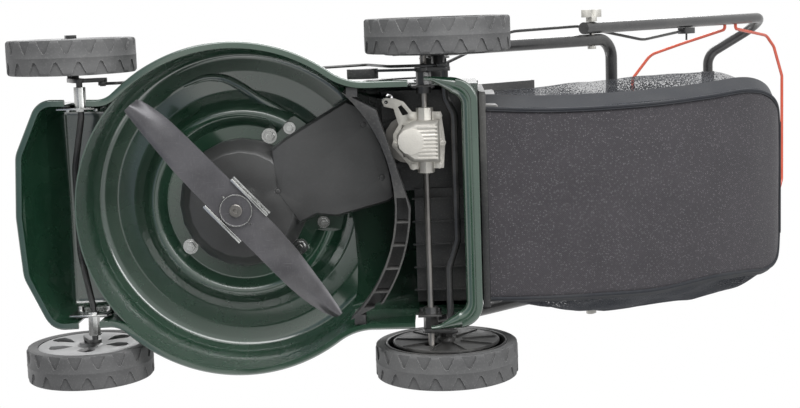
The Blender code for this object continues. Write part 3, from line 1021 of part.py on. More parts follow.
bag = stack("grass_bag", [bag_ring(section, 0) for section in BAG_SECTIONS])
inner_sections = [(-0.3440, *BAG_SECTIONS[0][1:])] + BAG_SECTIONS[1:-1]
cut(bag, stack("bag_inside", [bag_ring(section, WALL) for section in inner_sections]))
show(bag, "fabric", (FRAME_BACK, 0, BAG_SECTIONS[0][1]))
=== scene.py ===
import json
from math import atan2, cos, hypot, pi, radians, sin, tan

import bmesh
import bpy
from mathutils import Matrix, Vector, noise


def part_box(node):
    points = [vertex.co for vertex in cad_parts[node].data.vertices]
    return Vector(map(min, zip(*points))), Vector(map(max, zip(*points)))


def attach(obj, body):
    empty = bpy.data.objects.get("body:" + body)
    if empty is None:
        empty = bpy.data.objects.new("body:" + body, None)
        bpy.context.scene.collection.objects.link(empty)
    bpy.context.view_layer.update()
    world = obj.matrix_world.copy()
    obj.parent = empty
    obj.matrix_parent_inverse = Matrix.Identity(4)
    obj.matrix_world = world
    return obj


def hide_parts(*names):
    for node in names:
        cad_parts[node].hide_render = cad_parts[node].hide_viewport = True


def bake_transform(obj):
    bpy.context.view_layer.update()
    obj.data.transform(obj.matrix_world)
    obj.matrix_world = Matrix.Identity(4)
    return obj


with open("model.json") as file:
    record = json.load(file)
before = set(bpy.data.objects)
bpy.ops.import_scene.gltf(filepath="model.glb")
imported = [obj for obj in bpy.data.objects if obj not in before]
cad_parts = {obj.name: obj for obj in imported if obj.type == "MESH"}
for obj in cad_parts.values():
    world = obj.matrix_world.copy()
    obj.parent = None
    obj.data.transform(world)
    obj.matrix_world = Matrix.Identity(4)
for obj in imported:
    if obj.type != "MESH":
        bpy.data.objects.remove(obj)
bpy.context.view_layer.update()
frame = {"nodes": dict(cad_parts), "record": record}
nodes = frame["nodes"]
bodyOf = {node: body for body, group in frame["record"]["behaviour"]["bodies"].items() for node in group}
boltLow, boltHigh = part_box("blade_bolt")
bladeX = (boltLow.x + boltHigh.x) / 2  # the blade's axis is the zero of the measurements below
shift = Vector((bladeX, 0, 0))
print("frame loaded, blade axis at", round(bladeX, 4))

# Camera, below the mower and measured from the blade axis

cameraSetup = {"position": (-0.2921, 0.2675, -1.9152), "tilt": (0.1352, 0.0342, -0.0297), "lens": 64.98,
               "far": 50}
turnX, turnY, turnZ = (Matrix.Rotation(angle, 3, axis) for angle, axis in zip(cameraSetup["tilt"], "XYZ"))
viewRows = turnZ @ turnY @ turnX @ Matrix(((-1, 0, 0), (0, -1, 0), (0, 0, 1)))
cameraTurn = Matrix((viewRows[0], -viewRows[1], -viewRows[2])).transposed()
cameraData = bpy.data.cameras.new("photoCamera")
cameraData.lens = cameraSetup["lens"]
cameraData.clip_end = cameraSetup["far"]
camera = bpy.data.objects.new("photoCamera", cameraData)
bpy.context.collection.objects.link(camera)
camera.matrix_world = Matrix.Translation(Vector(cameraSetup["position"]) + shift) @ cameraTurn.to_4x4()
bpy.context.scene.camera = camera
bpy.context.scene.view_settings.view_transform = "Standard"

# Shader nodes


def asColour(value):
    # one number stands for a grey
    return value if isinstance(value, tuple) else (value,) * 3


def feed(tree, socket, value):
    # a socket takes a link, a colour or a number
    if isinstance(value, bpy.types.NodeSocket):
        tree.links.new(value, socket)
    elif value is not None:
        socket.default_value = (*asColour(value), 1) if socket.type == "RGBA" else value


def nodeOf(tree, kind, inputs=None, **values):
    made = tree.nodes.new("ShaderNode" + kind)
    for name, value in values.items():
        setattr(made, name, value)
    for name, value in (inputs or {}).items():
        feed(tree, made.inputs[name], value)
    return made


def mathNode(tree, operation, first, second=None, clamp=False):
    return nodeOf(tree, "Math", {0: first, 1: second}, operation=operation, use_clamp=clamp).outputs[0]


def rangeNode(tree, value, low, high, outLow=0.0, outHigh=1.0):
    inputs = {"Value": value, "From Min": low, "From Max": high, "To Min": outLow, "To Max": outHigh}
    return nodeOf(tree, "MapRange", inputs, interpolation_type="SMOOTHSTEP").outputs[0]


def noiseNode(tree, vector, scale, detail):
    return nodeOf(tree, "TexNoise", {"Vector": vector, "Scale": scale, "Detail": detail}).outputs["Fac"]


def colourMix(tree, mask, first, second):
    return nodeOf(tree, "Mix", {"Factor": mask, "A": first, "B": second}, data_type="RGBA").outputs["Result"]


def axesOf(tree, vector):
    return nodeOf(tree, "SeparateXYZ", {0: vector}).outputs


def emptyTree(owner):
    owner.use_nodes = True
    owner.node_tree.nodes.clear()
    return owner.node_tree


# World: white where the camera, a reflection or a see-through piece looks, and dimmer as light

worldSetup = {"lit": (0.97, 0.98, 1), "strength": 0.42}
world = bpy.data.worlds.new("studio")
bpy.context.scene.world = world
tree = emptyTree(world)
rays = nodeOf(tree, "LightPath").outputs
looking = mathNode(tree, "MAXIMUM", rays["Is Camera Ray"], rays["Is Glossy Ray"])
looking = mathNode(tree, "MAXIMUM", looking, rays["Is Transmission Ray"])
lit = nodeOf(tree, "Background", {"Color": worldSetup["lit"], "Strength": worldSetup["strength"]})
seen = nodeOf(tree, "Background", {"Color": 1})
mix = nodeOf(tree, "MixShader", {0: looking, 1: lit.outputs[0], 2: seen.outputs[0]})
nodeOf(tree, "OutputWorld", {0: mix.outputs[0]})

# Lamps: place and aim from the blade axis, size and power
lamps = {
    "ceilingSoftbox": ((-0.3, 2.3, -1.1), (-0.2, 0, 0.1), (3.0, 1.8), 80),
    "rightKey": ((-2.1, 1.3, -1.7), (-0.2, -0.05, 0.1), (1.5, 1.5), 44),
    "floorGlow": ((-0.3, -2.0, -0.9), (-0.2, 0, 0.1), (3.4, 1.6), 18),
    "topKey": ((-0.4, 1.6, 2.6), (-0.3, 0, 0.3), (2.2, 1.6), 60),
    "frontFill": ((2.6, -1.4, 1.4), (-0.2, 0, 0.3), (1.6, 1.6), 30),
}
for name, (place, aim, size, power) in lamps.items():
    data = bpy.data.lights.new(name, "AREA")
    data.shape = "RECTANGLE"
    data.size, data.size_y = size
    data.energy = power
    lamp = bpy.data.objects.new(name, data)
    bpy.context.collection.objects.link(lamp)
    lamp.location = Vector(place) + shift
    lamp.rotation_euler = (Vector(aim) - Vector(place)).to_track_quat("-Z", "Y").to_euler()


def stagePlane(name, halfX, halfY, place):
    # a plane that belongs to the studio, with an empty material
    form = bmesh.new()
    corners = ((-halfX, -halfY, 0), (halfX, -halfY, 0), (halfX, halfY, 0), (-halfX, halfY, 0))
    form.faces.new([form.verts.new(corner) for corner in corners])
    mesh = bpy.data.meshes.new(name)
    form.to_mesh(mesh)
    form.free()
    plane = bpy.data.objects.new(name, mesh)
    bpy.context.collection.objects.link(plane)
    plane.location = place
    mesh.materials.append(bpy.data.materials.new(name))
    return plane, emptyTree(mesh.materials[0])


# a screen round the camera, with one dark patch and a dimmer front; it is seen only in reflections
screenSetup = {"x": 3.2, "y": 2.6, "z": -2.05, "patch": (0.02, -0.62, 0), "patchSize": (0.66, 0.72, 1),
               "patchCore": 0.45, "dark": 0.02}
screenStops = ((0.0, (0.60, 0.62, 0.65)), (0.40, (0.92, 0.94, 0.94)), (0.548, (0.90, 0.92, 0.90)),
               (0.570, (1.20, 1.21, 1.18)), (0.607, (1.20, 1.21, 1.18)), (0.630, (0.40, 0.44, 0.52)),
               (1.0, (0.30, 0.34, 0.40)))
screen, tree = stagePlane("studioScreen", screenSetup["x"], screenSetup["y"], (bladeX, 0, screenSetup["z"]))
screen.visible_camera = screen.visible_diffuse = screen.visible_transmission = screen.visible_shadow = False
screen.data.materials[0].cycles.emission_sampling = "NONE"
place = nodeOf(tree, "TexCoord").outputs["Object"]
across = {"Value": axesOf(tree, place)["X"], "From Min": -screenSetup["x"], "From Max": screenSetup["x"]}
ramp = nodeOf(tree, "ValToRGB", {0: nodeOf(tree, "MapRange", across).outputs[0]})
stops = ramp.color_ramp.elements
while len(stops) < len(screenStops):
    stops.new(0.5)
for stop, (stopPlace, colour) in zip(stops, screenStops):
    stop.position = stopPlace
    stop.color = (*colour, 1)
patch = {0: place, "Location": screenSetup["patch"], "Scale": screenSetup["patchSize"]}
patch = nodeOf(tree, "Mapping", patch, vector_type="TEXTURE").outputs[0]
reach = nodeOf(tree, "VectorMath", {0: patch}, operation="LENGTH").outputs["Value"]
strength = rangeNode(tree, reach, screenSetup["patchCore"], 1.0, screenSetup["dark"])
glow = nodeOf(tree, "Emission", {"Color": ramp.outputs[0], "Strength": strength})
nodeOf(tree, "OutputMaterial", {0: glow.outputs[0]})

# the floor catches light and shadow from above, and the camera looks through it
floorSetup = {"half": 9.0, "grey": 0.86, "z": -0.0005}
tree = stagePlane("paleFloor", floorSetup["half"], floorSetup["half"], (0, 0, floorSetup["z"]))[1]
unseen = mathNode(tree, "SUBTRACT", 1.0, nodeOf(tree, "LightPath").outputs["Is Camera Ray"])
hidden = mathNode(tree, "MAXIMUM", nodeOf(tree, "NewGeometry").outputs["Backfacing"], unseen)
body, clear = nodeOf(tree, "BsdfDiffuse", {"Color": floorSetup["grey"]}), nodeOf(tree, "BsdfTransparent")
mix = nodeOf(tree, "MixShader", {0: hidden, 1: body.outputs[0], 2: clear.outputs[0]})
nodeOf(tree, "OutputMaterial", {0: mix.outputs[0]})
print("camera, world, lamps and floor made")

# Shader node groups shared by the materials


def newGroup(name, inputs, outputs):
    group = bpy.data.node_groups.new(name, "ShaderNodeTree")
    for label, value in inputs.items():
        group.interface.new_socket(label, in_out="INPUT",
                                   socket_type="NodeSocketFloat").default_value = value
    for label in outputs:
        group.interface.new_socket(label, in_out="OUTPUT", socket_type="NodeSocketFloat")
    start, end = group.nodes.new("NodeGroupInput"), group.nodes.new("NodeGroupOutput")
    return group, start.outputs, end.inputs, nodeOf(group, "TexCoord").outputs


def edgeGroup():
    # rounded corners of a piece rub pale, and on the tyres the same pale edge is a painted highlight of
    # edges catching the light: the mask is where a bevelled normal leaves the face
    tree, start, end, coords = newGroup("rubbedEdgesAndHighlight", {"Reach": 0.0015, "Amount": 1.0}, ["Mask"])
    bent = nodeOf(tree, "Bevel", {"Radius": start["Reach"]}, samples=6)
    flat = nodeOf(tree, "NewGeometry").outputs["Normal"]
    dot = nodeOf(tree, "VectorMath", {0: bent.outputs[0], 1: flat}, operation="DOT_PRODUCT")
    lean = mathNode(tree, "SUBTRACT", 1.0, dot.outputs["Value"])
    broken = rangeNode(tree, noiseNode(tree, coords["Object"], 160, 3), 0.38, 0.62)
    worn = rangeNode(tree, mathNode(tree, "MULTIPLY", lean, broken), 0.02, 0.16)
    feed(tree, end["Mask"], mathNode(tree, "MULTIPLY", worn, start["Amount"]))
    return tree


def dustGroup():
    # settled dust and dried splashes, thicker in broad patches and broken into specks
    tree, start, end, coords = newGroup("settledDust", {"Scale": 14.0, "Amount": 0.5}, ["Mask"])
    haze = rangeNode(tree, noiseNode(tree, coords["Object"], start["Scale"], 5), 0.42, 0.72)
    fine = mathNode(tree, "MULTIPLY", start["Scale"], 32.0)
    specks = rangeNode(tree, noiseNode(tree, coords["Object"], fine, 2), 0.52, 0.72)
    haze, specks = mathNode(tree, "MULTIPLY", haze, 0.55), mathNode(tree, "MULTIPLY", specks, 0.45)
    both = mathNode(tree, "ADD", haze, specks, True)
    feed(tree, end["Mask"], mathNode(tree, "MULTIPLY", both, start["Amount"], True))
    return tree


def grainGroup():
    # a fine even relief: moulded plastic, cast metal, rubber skin and orange peel in paint
    tree, start, end, coords = newGroup("surfaceGrain", {"Scale": 600.0, "Cells": 0.5}, ["Height", "Shade"])
    soft = noiseNode(tree, coords["Object"], start["Scale"], 4)
    pits = nodeOf(tree, "TexVoronoi", {"Vector": coords["Object"],
                                       "Scale": start["Scale"]}).outputs["Distance"]
    mixed = nodeOf(tree, "Mix", {"Factor": start["Cells"], "A": soft, "B": pits}, data_type="FLOAT")
    feed(tree, end["Height"], mixed.outputs["Result"])
    feed(tree, end["Shade"], noiseNode(tree, coords["Object"], 22, 4))
    return tree


def scratchGroup():
    # short fine scratches that run two ways across worn metal
    tree, start, end, coords = newGroup("fineScratches", {"Scale": 60.0, "Lean": 0.8}, ["Mask"])
    spin = nodeOf(tree, "CombineXYZ", {"Z": start["Lean"]}).outputs[0]
    streaks = []
    for stretch in ((1, 24, 6), (20, 1.4, 6)):
        turn = nodeOf(tree, "Mapping", {"Vector": coords["Object"], "Rotation": spin, "Scale": stretch})
        streaks.append(noiseNode(tree, turn.outputs[0], start["Scale"], 3))
    feed(tree, end["Mask"], rangeNode(tree, mathNode(tree, "MAXIMUM", *streaks), 0.62, 0.78))
    return tree


def clothGroup():
    # plain weave of the bag from its own UV map, one unit of it a metre
    tree, start, end, coords = newGroup("openWeave", {"Threads": 700.0, "Holes": 0.0},
                                        ["Height", "Shade", "Open"])
    parts = axesOf(tree, coords["UV"])
    waves = []
    for axis in "XY":
        turned = mathNode(tree, "MULTIPLY", mathNode(tree, "MULTIPLY", parts[axis], start["Threads"]),
                          2 * pi)
        waves.append(mathNode(tree, "SINE", turned))
    crossing = mathNode(tree, "MULTIPLY", *waves)
    rows = mathNode(tree, "MAXIMUM", *(mathNode(tree, "ABSOLUTE", wave) for wave in waves))
    feed(tree, end["Height"], mathNode(tree, "ADD", mathNode(tree, "MULTIPLY", crossing, 0.5), rows))
    feed(tree, end["Shade"], rangeNode(tree, crossing, -1, 1))
    gap = rangeNode(tree, rows, 0.30, 0.62, 1.0, 0.0)
    feed(tree, end["Open"], mathNode(tree, "MULTIPLY", gap, start["Holes"]))
    return tree


groups = {"edges": edgeGroup(), "dust": dustGroup(), "grain": grainGroup(), "scratches": scratchGroup(),
          "cloth": clothGroup()}
print("shader groups made:", ", ".join(groups))


def placeGroup(tree, name, **values):
    return nodeOf(tree, "Group", values, node_tree=groups[name]).outputs


# what a look has when it does not say otherwise; a colour given as one number is a grey
plainLook = dict(grainScale=600.0, cells=0.4, bump=0.2, bumpHigh=0.0003, scratches=0, scratchScale=60.0,
                 lean=0.8, edge=0, edgeReach=0.0012, edgeMetal=0, dust=0, dustScale=12.0,
                 dustColour=(0.30, 0.29, 0.26), metal=0.0, coat=0.0, coatRough=0.08, coatIndex=1.5,
                 sheen=0.0, specular=0.5)
shadeSpan = (0.3, 0.7)


def surface(name, look):
    # one material: base and worn colours, roughness range, grain relief, dust, and rubbed edges, which on
    # the tyres are partly painted highlight
    look = {**plainLook, **look}
    made = bpy.data.materials.new(name)
    made.use_nodes = True
    tree = made.node_tree
    grain = placeGroup(tree, "grain", Scale=look["grainScale"], Cells=look["cells"])
    colour = colourMix(tree, rangeNode(tree, grain["Shade"], *shadeSpan), look["base"], look["shade"])
    rough = rangeNode(tree, grain["Shade"], *shadeSpan, *look["rough"])
    metal = look["metal"]
    if look["scratches"]:
        lines = placeGroup(tree, "scratches", Scale=look["scratchScale"], Lean=look["lean"])
        worn = mathNode(tree, "MULTIPLY", lines["Mask"], look["scratches"])
        colour = colourMix(tree, worn, colour, look["worn"])
    if look["edge"]:
        edges = placeGroup(tree, "edges", Reach=look["edgeReach"], Amount=look["edge"])
        colour = colourMix(tree, edges["Mask"], colour, look["worn"])
        if look["edgeMetal"]:
            metal = mathNode(tree, "MAXIMUM", mathNode(tree, "MULTIPLY", edges["Mask"], look["edgeMetal"]),
                             metal)
    if look["dust"]:
        dust = placeGroup(tree, "dust", Scale=look["dustScale"], Amount=look["dust"])
        colour = colourMix(tree, dust["Mask"], colour, look["dustColour"])
        rough = mathNode(tree, "ADD", rough, mathNode(tree, "MULTIPLY", dust["Mask"], 0.25), True)
    relief = nodeOf(tree, "Bump", {"Strength": look["bump"], "Distance": look["bumpHigh"],
                                   "Height": grain["Height"]})
    inputs = {"Base Color": colour, "Roughness": rough, "Metallic": metal, "Normal": relief.outputs[0],
              "Coat Weight": look["coat"], "Coat Roughness": look["coatRough"],
              "Coat IOR": look["coatIndex"], "Sheen Weight": look["sheen"],
              "Specular IOR Level": look["specular"]}
    for label, value in inputs.items():
        feed(tree, tree.nodes["Principled BSDF"].inputs[label], value)
    made.diffuse_color = (*asColour(look["base"]), 1)
    return made


looks = {
    "deckPaint": dict(base=(0.009, 0.036, 0.019), shade=(0.012, 0.042, 0.023), rough=(0.22, 0.30), coat=1.0,
                      coatRough=0.12, coatIndex=1.72, specular=0.6, bump=0.03, bumpHigh=0.0004,
                      grainScale=240.0, cells=0.0, dust=0.07, dustColour=(0.12, 0.14, 0.12)),
    "blackMoulding": dict(base=(0.018, 0.018, 0.019), shade=(0.026, 0.026, 0.027), rough=(0.38, 0.50),
                          worn=0.09, edge=0.5, bump=0.25, grainScale=900.0, dust=0.22),
    "coverMoulding": dict(base=0.040, shade=0.050, rough=(0.30, 0.38), worn=0.17, edge=0.9,
                          edgeReach=0.0018, bump=0.15, grainScale=1100.0, dust=0.12, dustColour=0.16),
    "blackPaint": dict(base=(0.014, 0.014, 0.015), shade=(0.022, 0.022, 0.023), rough=(0.26, 0.38),
                       worn=0.20, edge=0.6, edgeMetal=0.7, bump=0.12, grainScale=500.0, coat=0.2, dust=0.15),
    "bladeSteel": dict(base=(0.072, 0.070, 0.076), shade=(0.100, 0.097, 0.104), rough=(0.30, 0.44),
                       worn=(0.24, 0.23, 0.24), edge=0.5, edgeMetal=0.6, scratches=0.35, lean=0.82,
                       metal=0.35, bump=0.08, grainScale=420.0, dust=0.12),
    "zinc": dict(base=(0.42, 0.42, 0.41), shade=(0.58, 0.58, 0.57), rough=(0.20, 0.30), worn=0.92, edge=0.9,
                 metal=1.0, bump=0.12, grainScale=700.0, dust=0.08, scratches=0.2),
    "shaftSteel": dict(base=(0.20, 0.19, 0.18), shade=(0.30, 0.28, 0.26), rough=(0.28, 0.42),
                       worn=(0.55, 0.54, 0.52), edge=0.4, metal=0.9, bump=0.12, grainScale=500.0, dust=0.18,
                       scratches=0.4, scratchScale=90.0),
    "castAlloy": dict(base=(0.52, 0.50, 0.46), shade=(0.62, 0.60, 0.55), rough=(0.42, 0.56),
                      worn=(0.80, 0.78, 0.74), edge=0.7, metal=0.55, bump=0.6, grainScale=520.0, cells=0.7,
                      dust=0.18, dustColour=(0.30, 0.28, 0.25)),
    # the pale worn colour along the tread's edges is partly a painted highlight, standing in for the recess
    # edges catching the light
    "tyreRubber": dict(base=(0.070, 0.070, 0.071), shade=(0.095, 0.095, 0.096), rough=(0.66, 0.80),
                       worn=0.26, edge=0.9, bump=0.3, grainScale=420.0, dust=0.35,
                       dustColour=(0.24, 0.24, 0.235)),
    "wheelGrey": dict(base=(0.300, 0.300, 0.302), shade=(0.360, 0.360, 0.362), rough=(0.34, 0.44),
                      worn=0.55, edge=0.5, grainScale=700.0, dust=0.12),
    "softRubber": dict(base=(0.022, 0.022, 0.023), shade=(0.032, 0.032, 0.033), rough=(0.55, 0.72),
                       worn=0.10, edge=0.4, bump=0.35, grainScale=900.0, dust=0.25),
    "cableSheath": dict(base=(0.016, 0.016, 0.017), shade=(0.026, 0.026, 0.027), rough=(0.30, 0.42),
                        worn=0.09, edge=0.2, bump=0.3, grainScale=1400.0, dust=0.2),
    "redCoat": dict(base=(0.56, 0.075, 0.035), shade=(0.62, 0.10, 0.05), rough=(0.30, 0.40),
                    worn=(0.75, 0.32, 0.24), edge=0.4, bump=0.1, grainScale=500.0, coat=0.3, dust=0.08),
    "greyMoulding": dict(base=(0.47, 0.455, 0.415), shade=(0.53, 0.515, 0.475), rough=(0.40, 0.52),
                         worn=(0.62, 0.60, 0.56), edge=0.4, grainScale=700.0, dust=0.12),
    "whiteGlaze": dict(base=(0.72, 0.72, 0.69), shade=(0.78, 0.78, 0.75), rough=(0.15, 0.25),
                       worn=(0.85, 0.85, 0.83), edge=0.2, bump=0.05, coat=0.5, dust=0.1),
}
materials = {name: surface(name, look) for name, look in looks.items()}


def clothSurface(name, look):
    # woven cloth: the weave's relief and pale specks, creased shading, and holes where it is a net
    made = surface(name, look)
    tree = made.node_tree
    shader = tree.nodes["Principled BSDF"].inputs
    weave = placeGroup(tree, "cloth", Threads=look["threads"], Holes=look["holes"])
    place = nodeOf(tree, "TexCoord").outputs["Object"]
    specks = nodeOf(tree, "TexVoronoi", {"Vector": place, "Scale": look["speckScale"]}).outputs
    chosen = nodeOf(tree, "SeparateColor", {0: specks["Color"]}).outputs[0]
    size = rangeNode(tree, specks["Distance"], look["speckSize"], 0.0)
    pale = mathNode(tree, "MULTIPLY", size, rangeNode(tree, chosen, 0.25, 0.75))
    base = shader["Base Color"].links[0].from_socket
    shaded = colourMix(tree, mathNode(tree, "MULTIPLY", weave["Shade"], 0.45), base, look["thread"])
    pale = mathNode(tree, "MULTIPLY", pale, look["specks"])
    feed(tree, shader["Base Color"], colourMix(tree, pale, shaded, look["speck"]))
    relief = {"Strength": look["weave"], "Distance": 0.0004, "Height": weave["Height"],
              "Normal": shader["Normal"].links[0].from_socket}
    feed(tree, shader["Normal"], nodeOf(tree, "Bump", relief).outputs[0])
    if look["holes"]:
        # grass dust fills the net in broad patches and less at its left side, so light passes unevenly
        share = rangeNode(tree, noiseNode(tree, place, look["patchScale"], 4), 0.44, 0.64, *look["through"])
        side = rangeNode(tree, axesOf(tree, place)["Y"], 0.10, 0.14, 0.0, look["side"])
        share = mathNode(tree, "ADD", share, side)
        # the net itself breaks up into bright dots, more of them where it is cleaner
        dots = mathNode(tree, "ADD", noiseNode(tree, place, look["dotScale"], 1), share)
        seen = rangeNode(tree, mathNode(tree, "SUBTRACT", dots, 0.62), 0.0, 0.22, 0.0, look["clear"])
        gaps = mathNode(tree, "ADD", mathNode(tree, "MULTIPLY", weave["Open"], 0.3), 0.8)
        seen = mathNode(tree, "MULTIPLY", seen, gaps, True)
        feed(tree, shader["Alpha"], mathNode(tree, "SUBTRACT", 1.0, seen, True))
    return made


clothLooks = {
    "bagCanvas": dict(base=(0.048, 0.045, 0.050), shade=(0.060, 0.056, 0.062), rough=(0.72, 0.86),
                      worn=0.16, edge=0.2, bump=0.6, grainScale=420.0, dust=0.10,
                      dustColour=(0.12, 0.115, 0.12), sheen=0.1, specular=0.2, threads=330.0, holes=0.0,
                      thread=(0.030, 0.028, 0.031), speckScale=430.0, speckSize=0.42, specks=0.9,
                      speck=(0.22, 0.21, 0.22), weave=0.8),
    "meshCloth": dict(base=(0.024, 0.027, 0.034), shade=(0.034, 0.037, 0.046), rough=(0.70, 0.85), bump=0.4,
                      grainScale=500.0, dust=0.05, sheen=0.05, specular=0.12, threads=520.0, holes=1.0,
                      thread=(0.016, 0.018, 0.023), speckScale=500.0, speckSize=0.3, specks=0.2,
                      speck=(0.12, 0.12, 0.13), weave=0.7, patchScale=11.0, through=(0.0, 0.16), side=0.22,
                      dotScale=430.0, clear=0.85),
    "bagHem": dict(base=(0.020, 0.022, 0.027), shade=(0.028, 0.030, 0.036), rough=(0.55, 0.70), worn=0.10,
                   edge=0.2, bump=0.5, grainScale=700.0, dust=0.08, sheen=0.1, specular=0.15, threads=500.0,
                   holes=0.0, thread=(0.012, 0.013, 0.015), speckScale=500.0, speckSize=0.3, specks=0.25,
                   speck=0.10, weave=0.3),
}
materials.update({name: clothSurface(name, look) for name, look in clothLooks.items()})
print("materials made:", len(materials))

# Forms: outlines, turned and swept bodies, and cuts between them, measured from the blade axis


def arcPoints(radius, start, end, steps, centre=(0, 0)):
    angles = [radians(start + (end - start) * k / steps) for k in range(steps + 1)]
    return [(centre[0] + radius * cos(a), centre[1] + radius * sin(a)) for a in angles]


def ringPoints(radius, sides, centre=(0, 0)):
    return arcPoints(radius, 0, 360 * (sides - 1) / sides, sides - 1, centre)


def polar(centre, radius, angle):
    return (centre[0] + radius * cos(radians(angle)), centre[1] + radius * sin(radians(angle)))


def sideSpan(side, near, far):
    return sorted((side * near, side * far))


def roundOutline(corners, steps=6):
    # each corner (x, y, radius) becomes an arc
    points = []
    for i, (x, y, radius) in enumerate(corners):
        here = Vector((x, y))
        toLast = Vector(corners[i - 1][:2]) - here
        toNext = Vector(corners[(i + 1) % len(corners)][:2]) - here
        turn = toLast.angle(toNext)
        if radius == 0 or turn > radians(179):
            points.append((x, y))
            continue
        toLast, toNext = toLast.normalized(), toNext.normalized()
        centre = here + (toLast + toNext).normalized() * radius / sin(turn / 2)
        start, end = (here + way * radius / tan(turn / 2) - centre for way in (toLast, toNext))
        first = atan2(start.y, start.x)
        sweep = (atan2(end.y, end.x) - first + pi) % (2 * pi) - pi
        for k in range(steps + 1):
            angle = first + sweep * k / steps
            points.append((centre.x + radius * cos(angle), centre.y + radius * sin(angle)))
    return points


def insetOutline(outline, distance):
    # an anticlockwise outline moved inwards
    moved = []
    for i, (x, y) in enumerate(outline):
        first = (Vector((x, y)) - Vector(outline[i - 1])).normalized()
        second = (Vector(outline[(i + 1) % len(outline)]) - Vector((x, y))).normalized()
        normal = Vector((-first.y - second.y, first.x + second.x)).normalized()
        reach = distance / max(0.5, normal.dot(Vector((-first.y, first.x))))
        moved.append((x + normal.x * reach, y + normal.y * reach))
    return moved


def levelRing(outline, z):
    return [(x, y, z) for x, y in outline]


def stackForm(rings, closed=True):
    # faces through rings of equally many points; a closed body has both ends covered
    form = bmesh.new()
    rows = [[form.verts.new(point) for point in ring] for ring in rings]
    count = len(rows[0])
    for low, high in zip(rows, rows[1:]):
        for i in range(count if closed else count - 1):
            j = (i + 1) % count
            form.faces.new((low[i], low[j], high[j], high[i]))
    if closed:
        form.faces.new(rows[0][::-1])
        form.faces.new(rows[-1])
        bmesh.ops.recalc_face_normals(form, faces=form.faces)
    return form


def prismForm(outline, low, high):
    return stackForm([levelRing(outline, low), levelRing(outline, high)])


def sideForm(outline, low, high):
    # a prism along y from (x, z) points
    return stackForm([[(x, y, z) for x, z in outline] for y in (low, high)])


def boxForm(low, high):
    return prismForm([(low[0], low[1]), (high[0], low[1]), (high[0], high[1]), (low[0], high[1])], low[2],
                     high[2])


def spunForm(profile, centre=(0, 0, 0), axis="Z", sides=64):
    form = bmesh.new()
    points = [form.verts.new((radius, 0, height)) for radius, height in profile]
    edges = [form.edges.new((a, b)) for a, b in zip(points, points[1:])]
    if profile[0][0] > 0 or profile[-1][0] > 0:
        edges.append(form.edges.new((points[-1], points[0])))
    bmesh.ops.spin(form, geom=points + edges, axis=(0, 0, 1), cent=(0, 0, 0), steps=sides, angle=2 * pi,
                   use_merge=True)
    bmesh.ops.remove_doubles(form, verts=form.verts, dist=1e-6)
    turn = Matrix.Rotation(-pi / 2, 4, "X") if axis == "Y" else Matrix()
    bmesh.ops.transform(form, matrix=Matrix.Translation(centre) @ turn, verts=form.verts)
    bmesh.ops.recalc_face_normals(form, faces=form.faces)
    return form


def drumForm(radius, low, high, centre=(0, 0), axis="Z", sides=48):
    place = (centre[0], 0, centre[1]) if axis == "Y" else (*centre, 0)
    return spunForm([(0, low), (radius, low), (radius, high), (0, high)], place, axis, sides)


def softProfile(profile, radius, steps=3):
    # a turned profile whose inner corners are rounded by one radius, as far as the runs allow
    points = [profile[0]]
    for last, this, after in zip(profile, profile[1:], profile[2:]):
        here = Vector(this)
        toLast, toNext = Vector(last) - here, Vector(after) - here
        turn = toLast.angle(toNext)
        if turn > radians(172):
            points.append(this)
            continue
        back = min(radius / tan(turn / 2), 0.45 * toLast.length, 0.45 * toNext.length)
        start, end = toLast.normalized() * back, toNext.normalized() * back
        shares = [k / steps for k in range(steps + 1)]
        points += [(here + start * (1 - t) ** 2 + end * t ** 2)[:] for t in shares]
    return points + [profile[-1]]


def routePoints(corners, steps=10):
    # a line through corners (x, y, z, radius), with each inner corner as an arc
    points = [Vector(corners[0][:3])]
    for last, this, following in zip(corners, corners[1:], corners[2:]):
        here = Vector(this[:3])
        toLast, toNext = ((Vector(corner[:3]) - here).normalized() for corner in (last, following))
        turn = toLast.angle(toNext)
        centre = here + (toLast + toNext).normalized() * this[3] / sin(turn / 2)
        fromCentre = here + toLast * this[3] / tan(turn / 2) - centre
        swing = toNext.cross(toLast).normalized()
        for k in range(steps + 1):
            points.append(centre + Matrix.Rotation((pi - turn) * k / steps, 3, swing) @ fromCentre)
    return points + [Vector(corners[-1][:3])]


def mirrorRoute(corners):
    return corners + [(x, -y, z, radius) for x, y, z, radius in reversed(corners)]


def sweptForm(spots, radius, sides=24):
    # a round bar along the points
    across = (spots[1] - spots[0]).orthogonal().normalized()
    rings = []
    for i, spot in enumerate(spots):
        before = (spot - spots[i - 1]).normalized() if i else (spots[1] - spot).normalized()
        after = (spots[i + 1] - spot).normalized() if i + 1 < len(spots) else before
        along = (before + after).normalized()
        across = (across - along * across.dot(along)).normalized()
        sideways = along.cross(across)
        angles = [2 * pi * k / sides for k in range(sides)]
        rings.append([spot + (across * cos(a) + sideways * sin(a)) * radius for a in angles])
    return stackForm(rings)


def capsulePoints(start, end, radius, steps=10):
    lean = atan2(end[1] - start[1], end[0] - start[0]) * 180 / pi
    first = arcPoints(radius, lean + 90, lean + 270, steps, start)
    return first + arcPoints(radius, lean - 90, lean + 90, steps, end)


def gathered(forms):
    # separate closed bodies kept as one piece
    whole = bmesh.new()
    for form in forms:
        part = bpy.data.meshes.new("part")
        form.to_mesh(part)
        form.free()
        whole.from_mesh(part)
        bpy.data.meshes.remove(part)
    return whole


def madeObject(name, form):
    mesh = bpy.data.meshes.new(name)
    form.to_mesh(mesh)
    form.free()
    made = bpy.data.objects.new(name, mesh)
    bpy.context.collection.objects.link(made)
    return made


